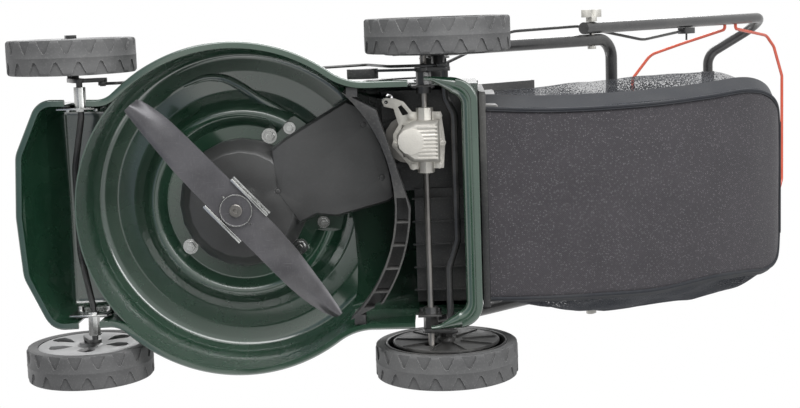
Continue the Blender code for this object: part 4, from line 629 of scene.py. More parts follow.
def carved(base, changes):
    # the base form after each ("cut" or "join", form) in turn
    held = madeObject("working", base)
    tools = []
    for word, form in changes:
        tools.append(madeObject("working", form))
        change = held.modifiers.new(word, "BOOLEAN")
        change.operation = {"cut": "DIFFERENCE", "join": "UNION"}[word]
        change.solver = "EXACT"
        change.object = tools[-1]
    mesh = bpy.data.meshes.new_from_object(held.evaluated_get(bpy.context.evaluated_depsgraph_get()))
    form = bmesh.new()
    form.from_mesh(mesh)
    for item in [held, *tools]:
        data = item.data
        bpy.data.objects.remove(item, do_unlink=True)
        bpy.data.meshes.remove(data)
    bpy.data.meshes.remove(mesh)
    return form


def placeForm(name, form, material, node, smooth=35, replaces=True, body=None, bend=None):
    # the finished piece in the row frame, riding on the node's body, or baked into the row frame with no
    # body when a bend is given
    bmesh.ops.translate(form, vec=(bladeX, 0, 0), verts=form.verts)
    piece = madeObject(name, form)
    piece.data.materials.append(materials[material])
    piece.data.shade_smooth()
    piece.data.set_sharp_from_angle(angle=radians(smooth))
    if bend:
        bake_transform(piece)
    else:
        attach(piece, body or bodyOf[node])
    if replaces:
        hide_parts(node)
    return piece


def softenEdges(form, width, smooth=38, segments=2):
    sharp = [e for e in form.edges if len(e.link_faces) == 2 and e.calc_face_angle(0) > radians(smooth)
             and e.calc_length() > 1.5 * width]
    bmesh.ops.bevel(form, geom=sharp, offset=width, affect="EDGES", segments=segments, profile=0.5,
                    material=-1,
                    clamp_overlap=True)


def cadCopy(node):
    # a copy of a CAD node, its coincident points merged
    form = bmesh.new()
    form.from_mesh(nodes[node].data)
    bmesh.ops.remove_doubles(form, verts=form.verts, dist=2e-6)
    return form


def softened(node, material, width, smooth=38):
    # the CAD's own shape with its sharp edges rounded
    form = cadCopy(node)
    bmesh.ops.dissolve_limit(form, angle_limit=radians(0.5), verts=form.verts, edges=form.edges)
    if width:
        softenEdges(form, width, smooth)
    bmesh.ops.triangulate(form, faces=[f for f in form.faces if len(f.verts) > 4])
    bmesh.ops.translate(form, vec=(-bladeX, 0, 0), verts=form.verts)
    return placeForm(f"{node}_finish", form, material, node, smooth)


# The pressed deck, made again with finer curves than the CAD solid

deckSizes = {"sheet": 0.002, "rimZ": 0.028, "flangeHigh": 0.006, "flangeWide": 0.007, "flangeRoll": 0.003,
             "plateZ": 0.122, "chamber": 0.221, "roofCut": 0.205, "ceilingRound": 0.016, "hoodHalf": 0.160,
             "hoodInner": 0.158, "hoodTop": 0.240, "skirtTop": 0.118, "mouthHalf": 0.126,
             "mouthZ": (0.128, 0.220), "crankHole": 0.045, "boltCircle": 0.1016, "boltHole": 0.0045,
             "cableHole": 0.005}
halfRim = [(0.3035, 0, 0), (0.2985, 0.085, 0.04), (0.2640, 0.1600, 0.030), (0.171, 0.1575, 0.03)]
halfRim += [(x, y, 0) for x, y in arcPoints(0.2305, 50, 125, 40)]
halfRim += [(-0.1576, 0.171, 0.08), (-0.334, 0.171, 0.032)]
rimLine = roundOutline(halfRim + [(x, -y, radius) for x, y, radius in reversed(halfRim) if y > 0], 12)
beltBay = ((-0.04, 0.085), (-0.070, 0.118), (-0.153, 0.152), (-0.19, 0.09), (-0.212, -0.006),
           (-0.134, -0.044), (-0.05, -0.04))
beltBay = roundOutline([(x, y, 0.008) for x, y in beltBay], 5)
ceiling = softProfile([(0, 0.122), (0.1100, 0.122), (0.1120, 0.1205), (0.1215, 0.110), (0.128, 0.107),
                       (0.1345, 0.110), (0.1460, 0.1265), (0.1590, 0.1340), (0.185, 0.1375),
                       (0.2090, 0.1345), (0.2185, 0.121), (deckSizes["chamber"], 0.099)],
                       deckSizes["ceilingRound"], 7)
engineBolts = [polar((0, 0), deckSizes["boltCircle"], angle) for angle in (113.1, -37.5, -139.3)]
guardNuts = ((-0.069, 0.104), (-0.112, -0.032))
cableHole = (-0.209, 0.139)
# slots in the skirt for the axles: half width where they start, then two corners (x, z)
axleSlots = ((0.14, (0.1965, 0.01), (0.2265, 0.070)), (0.158, (-0.305, 0.01), (-0.2405, 0.0865)))


def skirtRows(low, rise, wide, top):
    # straight up from the rim, then a quarter ellipse in to the roof
    angles = [pi / 2 * k / 8 for k in range(1, 8)]
    return [(0, 0.030), (0, low), *((wide * (1 - cos(a)), low + rise * sin(a)) for a in angles), (wide, top)]


def hoodSide(shrink, drop, frontLow):
    top = deckSizes["hoodTop"] - shrink - drop
    frontX = -0.140 - 0.8 * shrink - drop / 2
    return [(frontX, frontLow), (frontX, 0.119 - shrink / 2),
            (frontX - 0.025, 0.150 - 0.8 * shrink - drop / 2),
            (-0.232 - 0.5 * shrink, top - 0.010), (-0.252, top), (-0.336 + shrink, top)]


def deckShell():
    d = deckSizes
    sheet, (mouthLow, mouthHigh) = d["sheet"], d["mouthZ"]
    innerRim = insetOutline(rimLine, d["flangeWide"] + sheet)
    outer = skirtRows(0.098, 0.020, 0.018, d["skirtTop"])
    inner = skirtRows(0.066, 0.050, 0.018, d["skirtTop"] - sheet)
    raised = [(r + (0 if r < 0.01 else sheet * 0.5), z + sheet) for r, z in ceiling]
    raised += [(d["chamber"] + sheet, 0.06), (0, 0.06)]
    hoodRows = [(-d["hoodHalf"], 0.006), (0.002 - d["hoodHalf"], 0.0022), (0.007 - d["hoodHalf"], 0)]
    hoodRows += [(-y, drop) for y, drop in reversed(hoodRows)]
    hoodOuter = [[(x, y, z) for x, z in hoodSide(0, drop, 0.100) + [(-0.336, 0.100)]]
                 for y, drop in hoodRows]
    lip = [(-0.334, 0.102), (-0.325, 0.102), (-0.325, 0.060)]
    hoodInner = [[(x, y * d["hoodInner"] / d["hoodHalf"], z) for x, z in hoodSide(sheet, drop, 0.060) + lip]
                 for y, drop in hoodRows]
    leans = [pi * (k / 8 - 0.5) for k in range(9)]
    half = d["flangeHigh"] / 2
    flange = [(d["flangeRoll"] * (1 - cos(lean)), d["rimZ"] + half + half * sin(lean)) for lean in leans]
    # the front bay's roof comes down to the rim in one long curve
    leans = [radians(a) for a in range(0, 91, 6)]
    frontCurve = [(0.2325 + 0.06 * sin(lean), 0.04 + 0.0762 * cos(lean)) for lean in leans]
    frontCurve += [(0.32, 0.04), (0.32, 0.14), (0.2325, 0.14)]

    def bay(*cutters):
        # the room inside the skirt, kept clear of the cutters
        form = stackForm([levelRing(insetOutline(innerRim, a), z - sheet) for a, z in inner])
        return carved(form, [("cut", cutter) for cutter in cutters])

    frontBay = bay(drumForm(d["chamber"] + sheet, 0, 0.2, sides=160),
                   boxForm((-0.4, -0.3, 0), (0.02, 0.3, 0.2)), sideForm(frontCurve, -0.2, 0.2))
    rearBay = bay(boxForm((-0.06, -0.3, 0), (0.4, 0.3, 0.2)), drumForm(d["roofCut"], 0, 0.2, sides=128))
    changes = [("cut", drumForm(d["roofCut"], 0.09, 0.13, sides=128)),
               ("join", spunForm(raised, sides=160)),
               ("join", prismForm(insetOutline(beltBay, -sheet), 0.06, d["plateZ"] + sheet)),
               ("join", stackForm(hoodOuter)),
               ("join", stackForm([levelRing(insetOutline(rimLine, a), z) for a, z in flange])),
               ("cut", frontBay), ("cut", rearBay),
               ("cut", spunForm(ceiling + [(d["chamber"], 0.01), (0, 0.01)], sides=160)),
               ("cut", prismForm(innerRim, 0.01, d["rimZ"] + 0.008)),
               ("cut", prismForm(beltBay, 0.05, d["plateZ"])),
               ("cut", stackForm(hoodInner)),
               ("cut", boxForm((-0.34, -d["mouthHalf"], mouthLow), (-0.33, d["mouthHalf"], mouthHigh))),
               ("cut", drumForm(d["crankHole"], 0.10, 0.14))]
    for side in (-1, 1):
        for start, low, high in axleSlots:
            near, far = sideSpan(side, start, 0.2)
            changes.append(("cut", boxForm((low[0], near, low[1]), (high[0], far, high[1]))))
    changes += [("cut", drumForm(d["boltHole"], 0.11, 0.13, spot, sides=24)) for spot in engineBolts]
    changes.append(("cut", drumForm(d["cableHole"], 0.15, 0.25, cableHole, sides=24)))
    skirt = stackForm([levelRing(insetOutline(rimLine, d["flangeWide"] + a), z) for a, z in outer])
    return carved(skirt, changes)


placeForm("deck_shell", deckShell(), "deckPaint", "deck", 30)


def onFitting(spot):
    # what the CAD deck carries outside the shell: the notched height plate and the flap's hinge
    beside = 0.1645 < spot.y < 0.1695 and spot.z > 0.062 and -0.29 < spot.x < -0.14
    return beside or (spot.x < -0.305 and spot.z > 0.2403)


fittings = cadCopy("deck")
bmesh.ops.translate(fittings, vec=(-bladeX, 0, 0), verts=fittings.verts)
others = [f for f in fittings.faces if not onFitting(f.calc_center_median())]
bmesh.ops.delete(fittings, geom=others, context="FACES")
placeForm("deck_fittings", fittings, "blackPaint", "deck", 35, replaces=False)

# the broad roll along the rear edge of the deck, seen from below
rollSizes = {"x": -0.3228, "endX": -0.262, "z": 0.0375, "wide": 0.0112, "high": 0.0085, "half": 0.1600,
             "splay": 0.0035, "bend": 0.026, "taper": 0.04, "sides": 20}


def rearRoll():
    r = rollSizes
    corners = [(r["endX"], r["half"] + r["splay"], r["z"], 0), (r["x"], r["half"], r["z"], r["bend"])]
    line = routePoints(mirrorRoute(corners), 16)
    lead, tail = ([line[i].lerp(line[i + 1], k / 6) for k in range(7)] for i in (0, -2))
    line = lead[:-1] + line[1:-1] + tail[1:]
    rings = []
    for i, spot in enumerate(line):
        along = (line[min(len(line) - 1, i + 1)] - line[max(0, i - 1)]).normalized()
        outward = Vector((along.y, -along.x, 0))
        taper = min(1.0, max(0.25, (r["endX"] - spot.x) / r["taper"]))
        wide, high = r["wide"] * taper, r["high"] * (0.5 + 0.5 * taper)
        middle = spot + outward * (r["wide"] - wide)
        angles = [2 * pi * k / r["sides"] for k in range(r["sides"])]
        rings.append([middle + outward * wide * cos(a) + Vector((0, 0, high * sin(a))) for a in angles])
    return stackForm(rings)


placeForm("deck_rear_roll", rearRoll(), "deckPaint", "deck", 60, replaces=False)

# an embossed swirl beside the chamber's ring, where the pressing is drawn out: angle, radius and z
swirlSizes = {"radius": 0.0065, "rise": 0.0030, "sides": 20}
swirl = [(118, 0.139, 0.1245), (108, 0.143, 0.1240), (99, 0.150, 0.1255), (91, 0.163, 0.1310),
         (83, 0.178, 0.1360), (74, 0.186, 0.1380), (64, 0.186, 0.1400)]
swirlLine = [Vector((*polar((0, 0), radius, angle), z)) for angle, radius, z in swirl]
swirlSteps = [a.lerp(b, k / 5) for a, b in zip(swirlLine, swirlLine[1:]) for k in range(5)] + [swirlLine[-1]]
for turnAgain in range(3):
    middles = [(a + b * 2 + c) / 4 for a, b, c in zip(swirlSteps, swirlSteps[1:], swirlSteps[2:])]
    swirlSteps = [swirlSteps[0], *middles, swirlSteps[-1]]
swirlSteps = [spot + Vector((0, 0, swirlSizes["rise"])) for spot in swirlSteps]
swirlForm = sweptForm(swirlSteps, swirlSizes["radius"], swirlSizes["sides"])
placeForm("deck_swirl", swirlForm, "deckPaint", "deck", 80, replaces=False)


def nutForm(spot, radius, low, high, washer):
    hexagon = prismForm(ringPoints(radius, 6, spot), low, high)
    softenEdges(hexagon, 0.0004, 38, 1)
    stud = drumForm(radius * 0.44, low - 0.0034, low + 0.001, spot, sides=20)
    return [hexagon, stud, drumForm(washer, high - 0.0006, high + 0.0008, spot, sides=32)]


guardNut = {"radius": 0.0058, "low": 0.1150, "high": 0.1195, "washer": 0.0085}
engineNut = {"radius": 0.0078, "low": 0.1135, "high": 0.1205, "washer": 0.0108}
engineBolt = {"shank": 0.0040, "span": (0.1200, 0.1363), "headSpan": (0.1336, 0.1393)}
guardSet = [part for spot in guardNuts for part in nutForm(spot, **guardNut)]
placeForm("guard_nuts", gathered(guardSet), "zinc", "deck", 35, replaces=False)
for i, spot in enumerate(engineBolts):
    forms = nutForm(spot, **engineNut)
    forms.append(drumForm(engineBolt["shank"], *engineBolt["span"], spot, sides=20))
    forms.append(prismForm(ringPoints(engineNut["radius"], 6, spot), *engineBolt["headSpan"]))
    placeForm(f"engine_bolt_{i + 1}_set", gathered(forms), "zinc", f"engine_bolt_{i + 1}")
print("deck made")

# Wheels: treaded tyres, discs with leaf holes in front, ribbed dust covers over the driven wheels behind

tyreWide = 0.048
frontWheel = {"centre": (0.227, 0.0889), "tyre": 0.0886, "rim": 0.0731, "near": 0.192, "lugs": 18}
rearWheel = {"centre": (-0.282, 0.1016), "tyre": 0.1013, "rim": 0.0872, "near": 0.20525, "lugs": 20}
# one recess of the tread: distance in from the tyre's edge and half width as a share of the pitch
lugHalves = [(-0.004, 0.38), (0, 0.34), (0.004, 0.300), (0.0075, 0.245), (0.0105, 0.195), (0.0135, 0.150),
             (0.0162, 0.108), (0.0180, 0.065), (0.0187, 0.028)]
tyreSizes = {"lugDeep": 0.0024, "shoulder": 0.0045, "side": 0.0065, "ridge": 0.0003, "sides": 144}


def turnedForm(wheel, side, profile, count=96):
    # a profile (radius, distance out from the wheel's inner face) turned about the axle
    line = [(radius, side * (wheel["near"] + out)) for radius, out in profile]
    return spunForm(line, (wheel["centre"][0], 0, wheel["centre"][1]), "Y", count)


def treadCutters(wheel, side):
    cutters = []
    pitch = 2 * pi * wheel["tyre"] / wheel["lugs"]
    outline = [(wide * pitch, deep) for deep, wide in lugHalves]
    outline += [(-s, v) for s, v in reversed(outline)]
    heights = ((wheel["tyre"] - tyreSizes["lugDeep"], 1.0), (wheel["tyre"] + 0.004, 1.05))
    for row, (edge, inward) in enumerate(((wheel["near"], 1), (wheel["near"] + tyreWide, -1))):
        for k in range(wheel["lugs"]):
            turn = Matrix.Rotation(2 * pi * (k + 0.5 * row) / wheel["lugs"], 4, "Y")
            spots = [(s, side * (edge + inward * v)) for s, v in outline]
            rings = [[turn @ Vector((s * grow, y, high)) for s, y in spots] for high, grow in heights]
            cutters.append(stackForm(rings))
    whole = gathered(cutters)
    bmesh.ops.translate(whole, vec=(wheel["centre"][0], 0, wheel["centre"][1]), verts=whole.verts)
    return whole


def tyreForm(wheel, side):
    rim, outer, ridge = wheel["rim"], wheel["tyre"], tyreSizes["ridge"]
    shoulder, middle = tyreSizes["shoulder"], tyreWide / 2
    half = [(rim, 0.0006), (rim + 0.003, 0), (outer - tyreSizes["side"], 0)]
    leans = [radians(a) for a in range(15, 91, 15)]
    half += [(outer - shoulder + shoulder * sin(a), shoulder - shoulder * cos(a)) for a in leans]
    half += [(outer, 0.012), (outer + ridge / 3, middle - 0.0008), (outer + ridge, middle - 0.0004)]
    line = half + [(r, tyreWide - out) for r, out in reversed(half)]
    form = carved(turnedForm(wheel, side, line, tyreSizes["sides"]), [("cut", treadCutters(wheel, side))])
    bmesh.ops.remove_doubles(form, verts=form.verts, dist=2e-5)
    return form


leafCorners = ((0.0255, 0.0, 0.0015), (0.037, 0.0085, 0.012), (0.0535, 0.0155, 0.006),
               (0.0625, 0.0035, 0.006), (0.0600, -0.0085, 0.010), (0.045, -0.0115, 0.02))
leaf = {"holes": 6, "lean": 20}
discProfile = [(0.0056, -0.0020), (0.0135, -0.0020), (0.0145, -0.0012), (0.0150, 0.0010), (0.0180, 0.0026),
               (0.0240, 0.0012), (0.0400, -0.0010), (0.0560, -0.0014), (0.0650, -0.0006), (0.0700, 0.0006),
               (0.0725, 0.0020), (0.0725, tyreWide), (0.0700, tyreWide), (0.0680, 0.0380), (0.0140, 0.0400),
               (0.0130, tyreWide), (0.0056, tyreWide)]
discHollow = [(0.0170, 0.0048), (0.0680, 0.0030), (0.0670, 0.0350), (0.0170, 0.0370)]


def frontDisc(side):
    near, (x, z) = frontWheel["near"], frontWheel["centre"]
    changes = [("cut", turnedForm(frontWheel, side, discHollow))]
    for k in range(leaf["holes"]):
        lean = radians(360 / leaf["holes"] * k + leaf["lean"])
        corners = [(x + a * cos(lean) - b * sin(lean), z + a * sin(lean) + b * cos(lean), r)
                   for a, b, r in leafCorners]
        span = sideSpan(side, near - 0.006, near + 0.010)
        changes.append(("cut", sideForm(roundOutline(corners, 5), *span)))
    form = carved(turnedForm(frontWheel, side, discProfile), changes)
    softenEdges(form, 0.0006, 40)
    return form


dustSizes = {"ribs": 9, "lean": 8, "ribFrom": 0.024, "ribTo": 0.0715, "ribHalf": 0.0009, "hub": 0.0053,
             "shaft": 0.0112, "shaftAt": (-0.2615, 0.075)}
dustProfile = [(0, -0.0062), (0.0105, -0.0062), (0.0125, -0.0050), (0.0130, -0.0014), (0.0180, -0.0006),
               (0.0260, -0.0012), (0.0700, -0.0014), (0.0735, -0.0024), (0.0755, -0.0016), (0.0757, 0.0010),
               (0, 0.0010)]


def dustForm(side):
    d, near, centre = dustSizes, rearWheel["near"], rearWheel["centre"]
    changes = []
    for k in range(d["ribs"]):
        lean = 360 / d["ribs"] * k + d["lean"]
        rib = capsulePoints(polar(centre, d["ribFrom"], lean), polar(centre, d["ribTo"], lean),
                            d["ribHalf"], 4)
        changes.append(("join", sideForm(rib, *sideSpan(side, near - 0.0030, near - 0.0008))))
    for radius, spot, count in ((d["hub"], centre, 32), (d["shaft"], d["shaftAt"], 40)):
        changes.append(("cut", drumForm(radius, *sideSpan(side, 0.15, 0.25), spot, "Y", count)))
    form = carved(turnedForm(rearWheel, side, dustProfile), changes)
    softenEdges(form, 0.0003, 40)
    return form


rimProfile = [(0.0056, 0.0028), (0.0130, 0.0028), (0.0130, 0.0300), (0.0515, 0.0300), (0.0515, 0.0060),
              (0.0560, 0.0060), (0.0560, 0.0300), (0.0820, 0.0300), (0.0830, 0.0010), (0.0838, -0.0004),
              (0.0862, -0.0004), (0.0868, 0.0008), (0.0868, tyreWide), (0.0835, tyreWide), (0.0810, 0.0340),
              (0.0190, 0.0360), (0.0180, 0.0448), (0.0056, 0.0448)]
for label, side in (("left", 1), ("right", -1)):
    for node, ending, form, material, smooth in (
            ("front_tyre", "tread", tyreForm(frontWheel, side), "tyreRubber", 32),
            ("rear_tyre", "tread", tyreForm(rearWheel, side), "tyreRubber", 32),
            ("front_wheel", "disc", frontDisc(side), "wheelGrey", 35),
            ("rear_wheel", "rim", turnedForm(rearWheel, side, rimProfile), "blackMoulding", 35),
            ("dust_cover", "disc", dustForm(side), "blackMoulding", 35)):
        placeForm(f"{node}_{label}_{ending}", form, material, f"{node}_{label}", smooth)
print("wheels made")

# Handle: bent tubes, wire bails, the grip, and the two control cables

handle = {"tube": 0.0098, "lowerY": 0.2035, "upperY": 0.2237, "foot": (-0.264, 0.226),
          "fold": (-0.535, 0.493), "end": (-0.941, 1.012), "grip": (-0.830, 1.075), "gripHalf": 0.117,
          "bail": 0.0030, "footBolts": (0.010, 0.032), "stopPivot": 0.469, "drivePivot": 0.513,
          "foldHole": 0.0043, "footHole": 0.0038, "bailHole": 0.0033}
lowerLean, upperLean = (atan2(b[1] - a[1], b[0] - a[0]) * 180 / pi
                        for a, b in ((handle["foot"], handle["fold"]), (handle["fold"], handle["end"])))


def onLower(place):
    # a spot (x, z) so far below the fold, or above it, along the lower tubes
    return polar(handle["fold"], place, lowerLean)


def onUpper(place):
    return polar(handle["fold"], place, upperLean)


def placeTube(name, node, route, steps, holes):
    cuts = [("cut", drumForm(radius, *span, spot, "Y", 24)) for radius, span, spot in holes]
    placeForm(name, carved(sweptForm(routePoints(route, steps), handle["tube"], 32), cuts), "blackPaint",
              node, 40)


def routed(spot, y, radius=0):
    return (spot[0], y, spot[1], radius)


footBolts = [polar(handle["foot"], place, lowerLean) for place in handle["footBolts"]]
stopPivot, drivePivot = onUpper(handle["stopPivot"]), onUpper(handle["drivePivot"])
lowerY, upperY = handle["lowerY"], handle["upperY"]
lowerLine = mirrorRoute([routed(handle["foot"], lowerY), routed(onLower(0.050), lowerY, 0.032)])
upperLine = mirrorRoute([routed(onUpper(-0.024), upperY), routed(handle["end"], upperY, 0.055),
                         routed(handle["grip"], 0.150, 0.035)])
holes = [(handle["footHole"], sideSpan(side, 0.18, 0.22), spot) for spot in footBolts for side in (-1, 1)]
holes.append((handle["foldHole"], (-0.22, 0.22), handle["fold"]))
placeTube("lower_handle_tube", "lower_handle", lowerLine, 12, holes)
holes = [(handle["foldHole"], (-0.24, 0.24), handle["fold"])]
holes += [(handle["bailHole"], sideSpan(side, 0.205, 0.2260), spot)
          for side in (-1, 1) for spot in (stopPivot, drivePivot)]
placeTube("upper_handle_tube", "upper_handle", upperLine, 14, holes)

gripSizes = {"bore": 0.0101, "radius": 0.0128, "lip": 0.0012, "rings": 27, "ringDeep": 0.0004,
             "margin": 0.008}


def gripForm():
    # foam sleeve with a rounded lip at each end and shallow finger rings
    g, half = gripSizes, handle["gripHalf"]
    low = g["radius"] - g["ringDeep"]
    leans = [radians(a) for a in range(0, 91, 30)]
    lip = [(g["radius"] - g["lip"] * (1 - sin(a)), -half + g["lip"] * (1 - cos(a))) for a in leans]
    line = [(g["bore"], -half)] + lip
    for k in range(g["rings"]):
        y = -half + g["margin"] + k * 2 * (half - g["margin"]) / (g["rings"] - 1)
        line += [(g["radius"], y - 0.0018), (low, y - 0.0009), (low, y + 0.0009), (g["radius"], y + 0.0018)]
    line += [(r, -y) for r, y in reversed(lip)] + [(g["bore"], half)]
    return spunForm(line, (handle["grip"][0], 0, handle["grip"][1]), "Y", 48)


placeForm("handle_grip_sleeve", gripForm(), "softRubber", "handle_grip", 40)

bails = {
    "stop_bail": (stopPivot, [(-0.752, 0.178, 0.938, 0.05), (-0.700, 0.158, 0.978, 0.040),
                              (-0.666, 0.110, 1.000, 0.022)]),
    "drive_bail": (drivePivot, [(-0.9300, 0.188, 0.9890, 0.03), (-0.9490, 0.165, 1.0080, 0.02),
                                (-0.970, 0.105, 1.0290, 0.015)]),
}
for node, (pivot, corners) in bails.items():
    start = [routed(pivot, upperY - 0.002), routed(pivot, upperY - handle["tube"] - 0.0085, 0.006)]
    wire = sweptForm(routePoints(mirrorRoute(start + corners), 10), handle["bail"], 20)
    placeForm(f"{node}_wire", wire, "redCoat", node, 50)

# control cables: a black sheath from each handle block, one to the drive spring and one to the engine
cables = {"radius": 0.0025, "block": 0.320, "inner": upperY - handle["tube"], "blockHalf": (0.018, 0.008),
          "pin": 0.0018, "inset": 0.0056, "bend": 0.050}
blockAt = onUpper(cables["block"])
lowSpot = onUpper(0.160)
lowSpot = (lowSpot[0] - 0.004, lowSpot[1] + 0.012)
cableEnd = routed(polar(blockAt, -0.0120, upperLean), cables["inner"] - cables["inset"])
foldPart = [(-0.400, 0.2235, 0.430, 0.08), (-0.515, 0.2265, 0.528, 0.05), routed(lowSpot, 0.1975, 0.08),
            cableEnd]
driveRoute = [(*cableHole, 0.1165, 0), (*cableHole, 0.250, 0.03), (-0.290, 0.178, 0.345, 0.06)] + foldPart
stopRoute = [(-0.060, -0.0865, 0.165, 0), (-0.085, -0.115, 0.200, 0.03), (-0.200, -0.150, 0.300, 0.08)]
stopRoute += [(x, -y, z, radius) for x, y, z, radius in foldPart]


def blockForm(side):
    (long, high), inner = cables["blockHalf"], cables["inner"]
    corners = [polar(polar(blockAt, u * long, upperLean), v * high, upperLean + 90)
               for u, v in ((-1, -1), (1, -1), (1, 1), (-1, 1))]
    pin = drumForm(cables["pin"], *sideSpan(side, inner - 0.0230, inner - 0.0100), blockAt, "Y", 20)
    form = carved(sideForm(corners, *sideSpan(side, inner - 0.0110, inner - 0.0003)), [("join", pin)])
    softenEdges(form, 0.0010, 40)
    return form


# a cable follows the lower tubes as far as the fold and the upper tubes after it
for label, route, side in (("drive", driveRoute, 1), ("stop", stopRoute, -1)):
    ends = [(x + bladeX, side * 0.22, z) for x, z in (onLower(-cables["bend"]), onUpper(cables["bend"]))]
    line = routePoints(route, 12)
    path = [tuple(point + shift) for point in line]
    length = sum((b - a).length for a, b in zip(line, line[1:]))
    sheath = placeForm(f"{label}_cable_sheath", sweptForm(line, cables["radius"], 16), "cableSheath",
                       f"{label}_cable", 50, bend=("chassis", "upper_handle", *ends))
    block = placeForm(f"{label}_cable_block", blockForm(side), "blackMoulding", f"{label}_cable", 35,
                      replaces=False, body="upper_handle")
    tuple(path[-1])
    print(label, "cable", round(length, 3), "m")
print("handle and cables made")

# The grass bag: a stiff woven underside, and a thin mesh wrap that sags into folds at its right

bagCorners = ("x", "low", "high", "lowLeft", "lowRight", "left", "right")
bagRows = [
    (-0.3458, 0.060, 0.250, 0.130, 0.141, 0.142, 0.152), (-0.4200, 0.068, 0.312, 0.125, 0.142, 0.145, 0.182),
    (-0.4900, 0.079, 0.362, 0.124, 0.142, 0.148, 0.200), (-0.5800, 0.103, 0.400, 0.126, 0.142, 0.151, 0.203),
    (-0.6600, 0.136, 0.415, 0.131, 0.133, 0.153, 0.201), (-0.7200, 0.170, 0.412, 0.136, 0.132, 0.152, 0.191),
    (-0.7550, 0.200, 0.398, 0.130, 0.135, 0.138, 0.172), (-0.7780, 0.230, 0.375, 0.112, 0.125, 0.118, 0.144),
    (-0.7900, 0.268, 0.345, 0.080, 0.092, 0.085, 0.098),
]
bagSizes = {"stations": 88, "tight": 0.15, "piping": 0.0027, "pipingDrop": 0.0012, "bandStep": 0.0062,
            "gather": (-0.7920, -0.006, 0.305)}


def bagSection(t):
    # the section at a share of the way from the mouth to the rear, on a smooth curve through the rows
    place = t * (len(bagRows) - 1)
    i = min(int(place), len(bagRows) - 2)
    u = place - i
    rows = [bagRows[max(0, min(len(bagRows) - 1, i + k))] for k in (-1, 0, 1, 2)]
    values = []
    for a, b, c, d in zip(*rows):
        first, second, third = c - a, 2 * a - 5 * b + 4 * c - d, 3 * b - a - 3 * c + d
        values.append(0.5 * (2 * b + first * u + second * u * u + third * u ** 3))
    return dict(zip(bagCorners, values))


def spread(start, end, count):
    (a, b), (c, d) = start, end
    return [(a + (c - a) * k / count, b + (d - b) * k / count) for k in range(1, count)]


def bagLine(section, part):
    # the points (y, z) of the underside or of the wrap round it
    low, high = section["low"], section["high"]
    tight = min(1.0, (high - low) / bagSizes["tight"])
    right = section["right"]
    plan = [(section["lowLeft"], low, 0.012), (section["left"], high, 0.030), (-0.9 * right, high, 0.030),
            (-right, 0.45 * low + 0.55 * high, 0.040), (-section["lowRight"], low, 0.012)]
    ring = roundOutline([(y, z, radius * tight) for y, z, radius in plan], 6)
    if part == "under":
        return ring[31:] + spread(ring[34], ring[0], 48) + ring[:4]
    line = ring[3:7]
    for corner, count in ((7, 18), (14, 30), (21, 12), (28, 14)):
        line += spread(ring[corner - 1], ring[corner], count) + ring[corner:corner + 7]
    return line[:-3]


def bagStations(part):
    # each section from mouth to rear with its line of points
    for i in range(bagSizes["stations"] + 1):
        section = bagSection(i / bagSizes["stations"])
        yield section, bagLine(section, part)


def lineNormals(line):
    # the outward direction (y, z) at each point
    for k in range(len(line)):
        before, after = line[max(0, k - 1)], line[min(len(line) - 1, k + 1)]
        yield Vector((after[1] - before[1], before[0] - after[0])).normalized()


clothFolds = {"swell": 0.0032, "ripple": 0.0011, "sag": 0.0045, "fold": 0.0058, "fine": 0.0024,
              "inset": 0.0035, "pleat": 0.0016}


def foldDepth(x, y, z, part, along, across):
    # how far the cloth stands in or out of its plain form
    c = clothFolds
    if part == "under":
        edge = min(1.0, 5 * across, 5 * (1 - across)) * min(1.0, 12 * along)
        swell = noise.noise(Vector((x * 7, y * 5, 3.1))) * c["swell"]
        swell += noise.noise(Vector((x * 19, y * 16, 7.7))) * c["ripple"]
        sag = c["sag"] * sin(pi * across) * sin(pi * min(1.0, along * 1.3))
        return (swell + sag) * edge
    hem = min(1.0, 14 * across, 14 * (1 - across)) * min(1.0, 9 * along)
    drift = noise.noise(Vector((x * 6, y * 7, z * 6)))
    fine = noise.noise(Vector((x * 30, y * 26, z * 24 + 4)))
    folds = sin((z * 34 + x * 26 + drift * 2.6)) * 0.5 + sin((z * 71 - x * 33 + drift * 5.0)) * 0.28
    slack = 1.0 if y < -0.05 else 0.35 + 0.3 * max(0.0, -y / 0.05)
    pleats = c["pleat"] * sin(z * 260 + drift * 3) * max(0.0, 1 - 7 * along)
    return hem * slack * (folds * c["fold"] + fine * c["fine"] - c["inset"]) + pleats


def clothFaces(form, near, far, nearPlaces, farPlaces):
    uv = form.loops.layers.uv["cloth"]
    for k in range(len(near) - 1):
        face = form.faces.new((near[k], near[k + 1], far[k + 1], far[k]))
        for loop, place in zip(face.loops, nearPlaces[k:k + 2] + farPlaces[k:k + 2][::-1]):
            loop[uv].uv = place


def bagSheet(part):
    # one panel, its UV map in metres along the bag and round it
    form = bmesh.new()
    form.loops.layers.uv.new("cloth")
    rows, places = [], []
    travelled, lastMiddle = 0.0, None
    for i, (section, line) in enumerate(bagStations(part)):
        x, along = section["x"], i / bagSizes["stations"]
        middle = Vector((x, *line[len(line) // 2]))
        travelled += (middle - lastMiddle).length if lastMiddle else 0.0
        lastMiddle = middle
        run, row, spots = 0.0, [], []
        for k, ((y, z), normal) in enumerate(zip(line, lineNormals(line))):
            run += hypot(y - line[k - 1][0], z - line[k - 1][1]) if k else 0.0
            depth = foldDepth(x, y, z, part, along, k / (len(line) - 1))
            row.append(form.verts.new((x, y + normal.x * depth, z + normal.y * depth)))
            spots.append((travelled, run))
        if rows:
            clothFaces(form, rows[-1], row, places[-1], spots)
        rows.append(row)
        places.append(spots)
    return form


